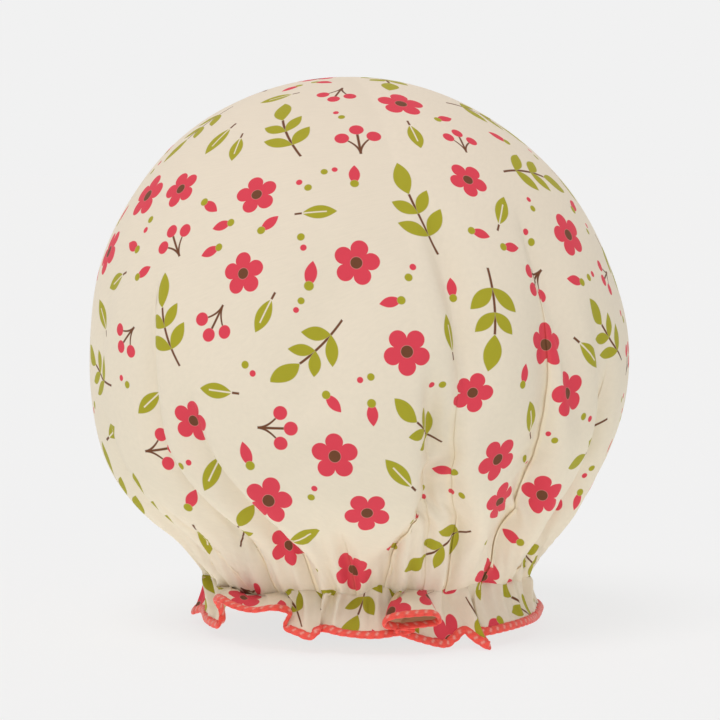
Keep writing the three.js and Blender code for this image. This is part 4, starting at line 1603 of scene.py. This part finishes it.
SEWING_THREAD = band_weave("sewing_thread", THREAD_CREAM, THREAD_SHADE, THREAD_GRAIN)
tack_points = thread_tube(tack_path(), THREAD_RADIUS)
tack_mesh = close_ends(grid_mesh("elastic_tack_thread", tack_points), THREAD_SIDES)
tack_thread = add_piece("elastic_tack_thread", tack_mesh, SEWING_THREAD)
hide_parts("elastic_tack")

# Casing tape
# A cream woven cotton tape is sewn inside the gather along both its edges.
# With the gathered cloth it makes the channel that the elastic runs in.
TAPE_THICKNESS = 0.0004
TAPE_ROWS = 13
TAPE_GAP = 0.0016
TAPE_CLEARANCE = 0.0012
TAPE_FACE = ELASTIC_RADIUS - 2 * LAP_STEP - TAPE_CLEARANCE
TAPE_EDGE = 0.04
TAPE_STEP = 0.2
TAPE_CREAM = linear(228, 217, 192)
TAPE_SHADE = linear(206, 192, 162)
TAPE_GRAIN = 1400


def tape_surface(edge):
    """A band whose two edges lie on the ring inside the gathers and whose middle runs smoothly round inside
    the elastic; a wide flat-topped step blends the one into the other."""
    share = np.linspace(0, 1, TAPE_ROWS)[:, None]
    inside = smooth_step(TAPE_EDGE, TAPE_STEP, share) * smooth_step(TAPE_EDGE, TAPE_STEP, 1 - share)
    azimuth = plan_place(edge)[0][None, :]
    reach = inner_ring(azimuth) - TAPE_GAP
    radius = reach + (TAPE_FACE - reach) * inside
    height = CASING_TOP + (CASING_BOTTOM - CASING_TOP) * share + 0 * azimuth
    return plan(azimuth + 0 * share, radius, height)


tape_points = tape_surface(soft_crown[-1])
tape_length = row_lengths(tape_points)[:, -1].mean()
WOVEN_TAPE = band_weave("woven_tape", TAPE_CREAM, TAPE_SHADE, TAPE_GRAIN)
tape_band = add_piece("casing_tape_band", grid_mesh("casing_tape_band", tape_points), WOVEN_TAPE)
thicken(tape_band, TAPE_THICKNESS)
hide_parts("casing_tape")

# Stitch rows
# Two rows of cream thread sew the tape to the gathered cloth, one above the elastic and one below it.
# Each stitch lies on the cloth between two needle holes.
STITCH_PITCH = 0.0032
STITCH_LENGTH = 0.0026
STITCH_DEPTH = 0.0035
STITCH_READS = 4
STITCH_RINGS = 5
STITCH_SIDES = 6
STITCH_END = 1.04
STITCH_LIFT = 0.7
STITCH_BOW = 1.1


def stitch_row(height):
    """Short threads at even steps round the casing: each is a tube that swells from its needle holes to its
    middle, sunk into the cloth at both ends."""
    level = np.interp(height, soft_crown[::-1, :, 2].mean(axis=1), np.arange(len(soft_crown))[::-1])
    low = min(int(level), len(soft_crown) - 2)
    row = soft_crown[low] * (1 - level + low) + soft_crown[low + 1] * (level - low)
    row = row + [0, 0, height - row[:, 2].mean()] - STITCH_DEPTH * grid_normals(soft_crown)[low]
    count = round(row_lengths(row[None])[0, -1] / STITCH_PITCH)
    path = even_columns(row[None], count * STITCH_READS)[0]
    out = grid_normals(np.stack([path + [0, 0, THREAD_RADIUS], path, path - [0, 0, THREAD_RADIUS]]))[1]
    ahead = unit(np.roll(path, -1, axis=0) - np.roll(path, 1, axis=0))
    middle, out, ahead = (line[::STITCH_READS][:, None, None] for line in (path, out, ahead))
    share = np.linspace(-1, 1, STITCH_RINGS)[None, :, None, None]
    angle = circle(STITCH_SIDES)[None, None, :, None]
    thick = THREAD_RADIUS * np.sqrt(STITCH_END - share ** 2)
    upright = np.array([0.0, 0.0, 1.0])
    rise = THREAD_RADIUS * (STITCH_LIFT - STITCH_BOW * share ** 2)
    return (middle + STITCH_LENGTH / 2 * share * ahead + (rise + thick * np.cos(angle)) * out
            + thick * np.sin(angle) * upright)


def stitch_mesh(name, points):
    """One mesh of many short tubes: quads along each, and a flat face on each end."""
    stitches, rings, sides = points.shape[:3]
    index = np.arange(stitches * rings * sides).reshape(stitches, rings, sides)
    beside = np.roll(index, -1, axis=2)
    quads = np.stack([index[:, :-1], index[:, 1:], beside[:, 1:], beside[:, :-1]], axis=-1)
    ends = np.concatenate([index[:, 0], index[:, -1, ::-1]])
    return smooth_mesh(name, points.reshape(-1, 3), quads.reshape(-1, 4).tolist() + ends.tolist())


for place in ("upper", "lower"):
    row_low, row_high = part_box("stitch_row_" + place)
    mesh = stitch_mesh(place + "_stitches", stitch_row((row_low.z + row_high.z) / 2))
    stitches = add_piece(place + "_stitches", mesh, SEWING_THREAD)
    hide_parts("stitch_row_" + place)

# Floor, light and camera
# The cap stands on a plain pale table in a white room. One broad lamp shines from the upper left in front,
# the table gives light back from below, most of it close to the cap, and the camera looks slightly down.
FLOOR_REACH = 6.0
BACKGROUND = linear(241, 241, 241)
FLOOR_COLOUR = linear(240, 247, 243)
FLOOR_SEEN = linear(118, 118, 118)
FLOOR_FINISH = {"Roughness": 0.9, "Specular IOR Level": 0.0, "Emission Color": (1, 1, 1, 1)}
FLOOR_GLOW = 0.72
FLOOR_BOUNCE = 0.22
UNDER_GLOW = 0.8
UNDER_REACH = 0.10
WORLD_LIGHT = 0.535
KEY_STRENGTH = 1.25
KEY_COLOUR = (1.0, 0.965, 0.95)
KEY_ANGLE = 30
KEY_SIDE = -30
KEY_RISE = 65
CAMERA_LENS = 192
CAMERA_REACH = 2.0
CAMERA_RISE = 5.0
AIM = np.array([0.0006, 0.0, 0.140])


def seen_rays(tree):
    """1 for the rays that show a surface, straight, mirrored or through glass, and 0 for those that light."""
    paths = tree.nodes.new("ShaderNodeLightPath")
    seen = Reading(tree, paths.outputs["Is Camera Ray"])
    for kind in ("Is Glossy Ray", "Is Transmission Ray"):
        seen = seen.most(Reading(tree, paths.outputs[kind]))
    return seen


def pale_table():
    """A matt table: shown in one even tone with the cap's shadow, while its light is a steady bounce and a
    glow that falls off from the cap's middle as a bell curve."""
    material, tree, shader = new_material("pale_table", FLOOR_FINISH)
    seen = seen_rays(tree)
    tree.links.new(mix_colours(tree, seen, FLOOR_COLOUR, FLOOR_SEEN), shader.inputs["Base Color"])
    x, y = split_place(tree, object_place(tree))
    fall = ((x.squared() + y.squared()) * (-1 / UNDER_REACH ** 2)).math("EXPONENT")
    glow = seen * FLOOR_GLOW + (-seen + 1) * (fall * UNDER_GLOW + FLOOR_BOUNCE)
    tree.links.new(glow.socket, shader.inputs["Emission Strength"])
    return material


floor_mesh = bpy.data.meshes.new("floor")
corners = FLOOR_REACH * np.array([[-1, -1, 0], [1, -1, 0], [1, 1, 0], [-1, 1, 0]])
floor_mesh.from_pydata(corners.tolist(), [], [(0, 1, 2, 3)])
floor_mesh.materials.append(pale_table())
floor = put("floor", floor_mesh)

world = bpy.data.worlds.new("studio")
bpy.context.scene.world = world
world.use_nodes = True
sky = world.node_tree
lit = sky.nodes["Background"]
lit.inputs["Strength"].default_value = WORLD_LIGHT
lit.inputs["Color"].default_value = (1, 1, 1, 1)
shown = sky.nodes.new("ShaderNodeBackground")
shown.inputs["Color"].default_value = BACKGROUND
blend = sky.nodes.new("ShaderNodeMixShader")
sky.links.new(seen_rays(sky).socket, blend.inputs[0])
sky.links.new(lit.outputs[0], blend.inputs[1])
sky.links.new(shown.outputs[0], blend.inputs[2])
sky.links.new(blend.outputs[0], sky.nodes["World Output"].inputs["Surface"])

key = put("key_light", bpy.data.lights.new("key_light", "SUN"))
key.data.energy = KEY_STRENGTH
key.data.color = KEY_COLOUR
key.data.angle = math.radians(KEY_ANGLE)
key.rotation_euler = (math.radians(90 - KEY_RISE), 0, math.radians(KEY_SIDE))

camera = put("camera", bpy.data.cameras.new("camera"))
camera.data.lens = CAMERA_LENS
tilt = math.radians(CAMERA_RISE)
camera.location = AIM + CAMERA_REACH * np.array([0, -math.cos(tilt), math.sin(tilt)])
camera.rotation_euler = (math.pi / 2 - tilt, 0, 0)
bpy.context.scene.camera = camera
bpy.context.scene.view_settings.view_transform = "Standard"
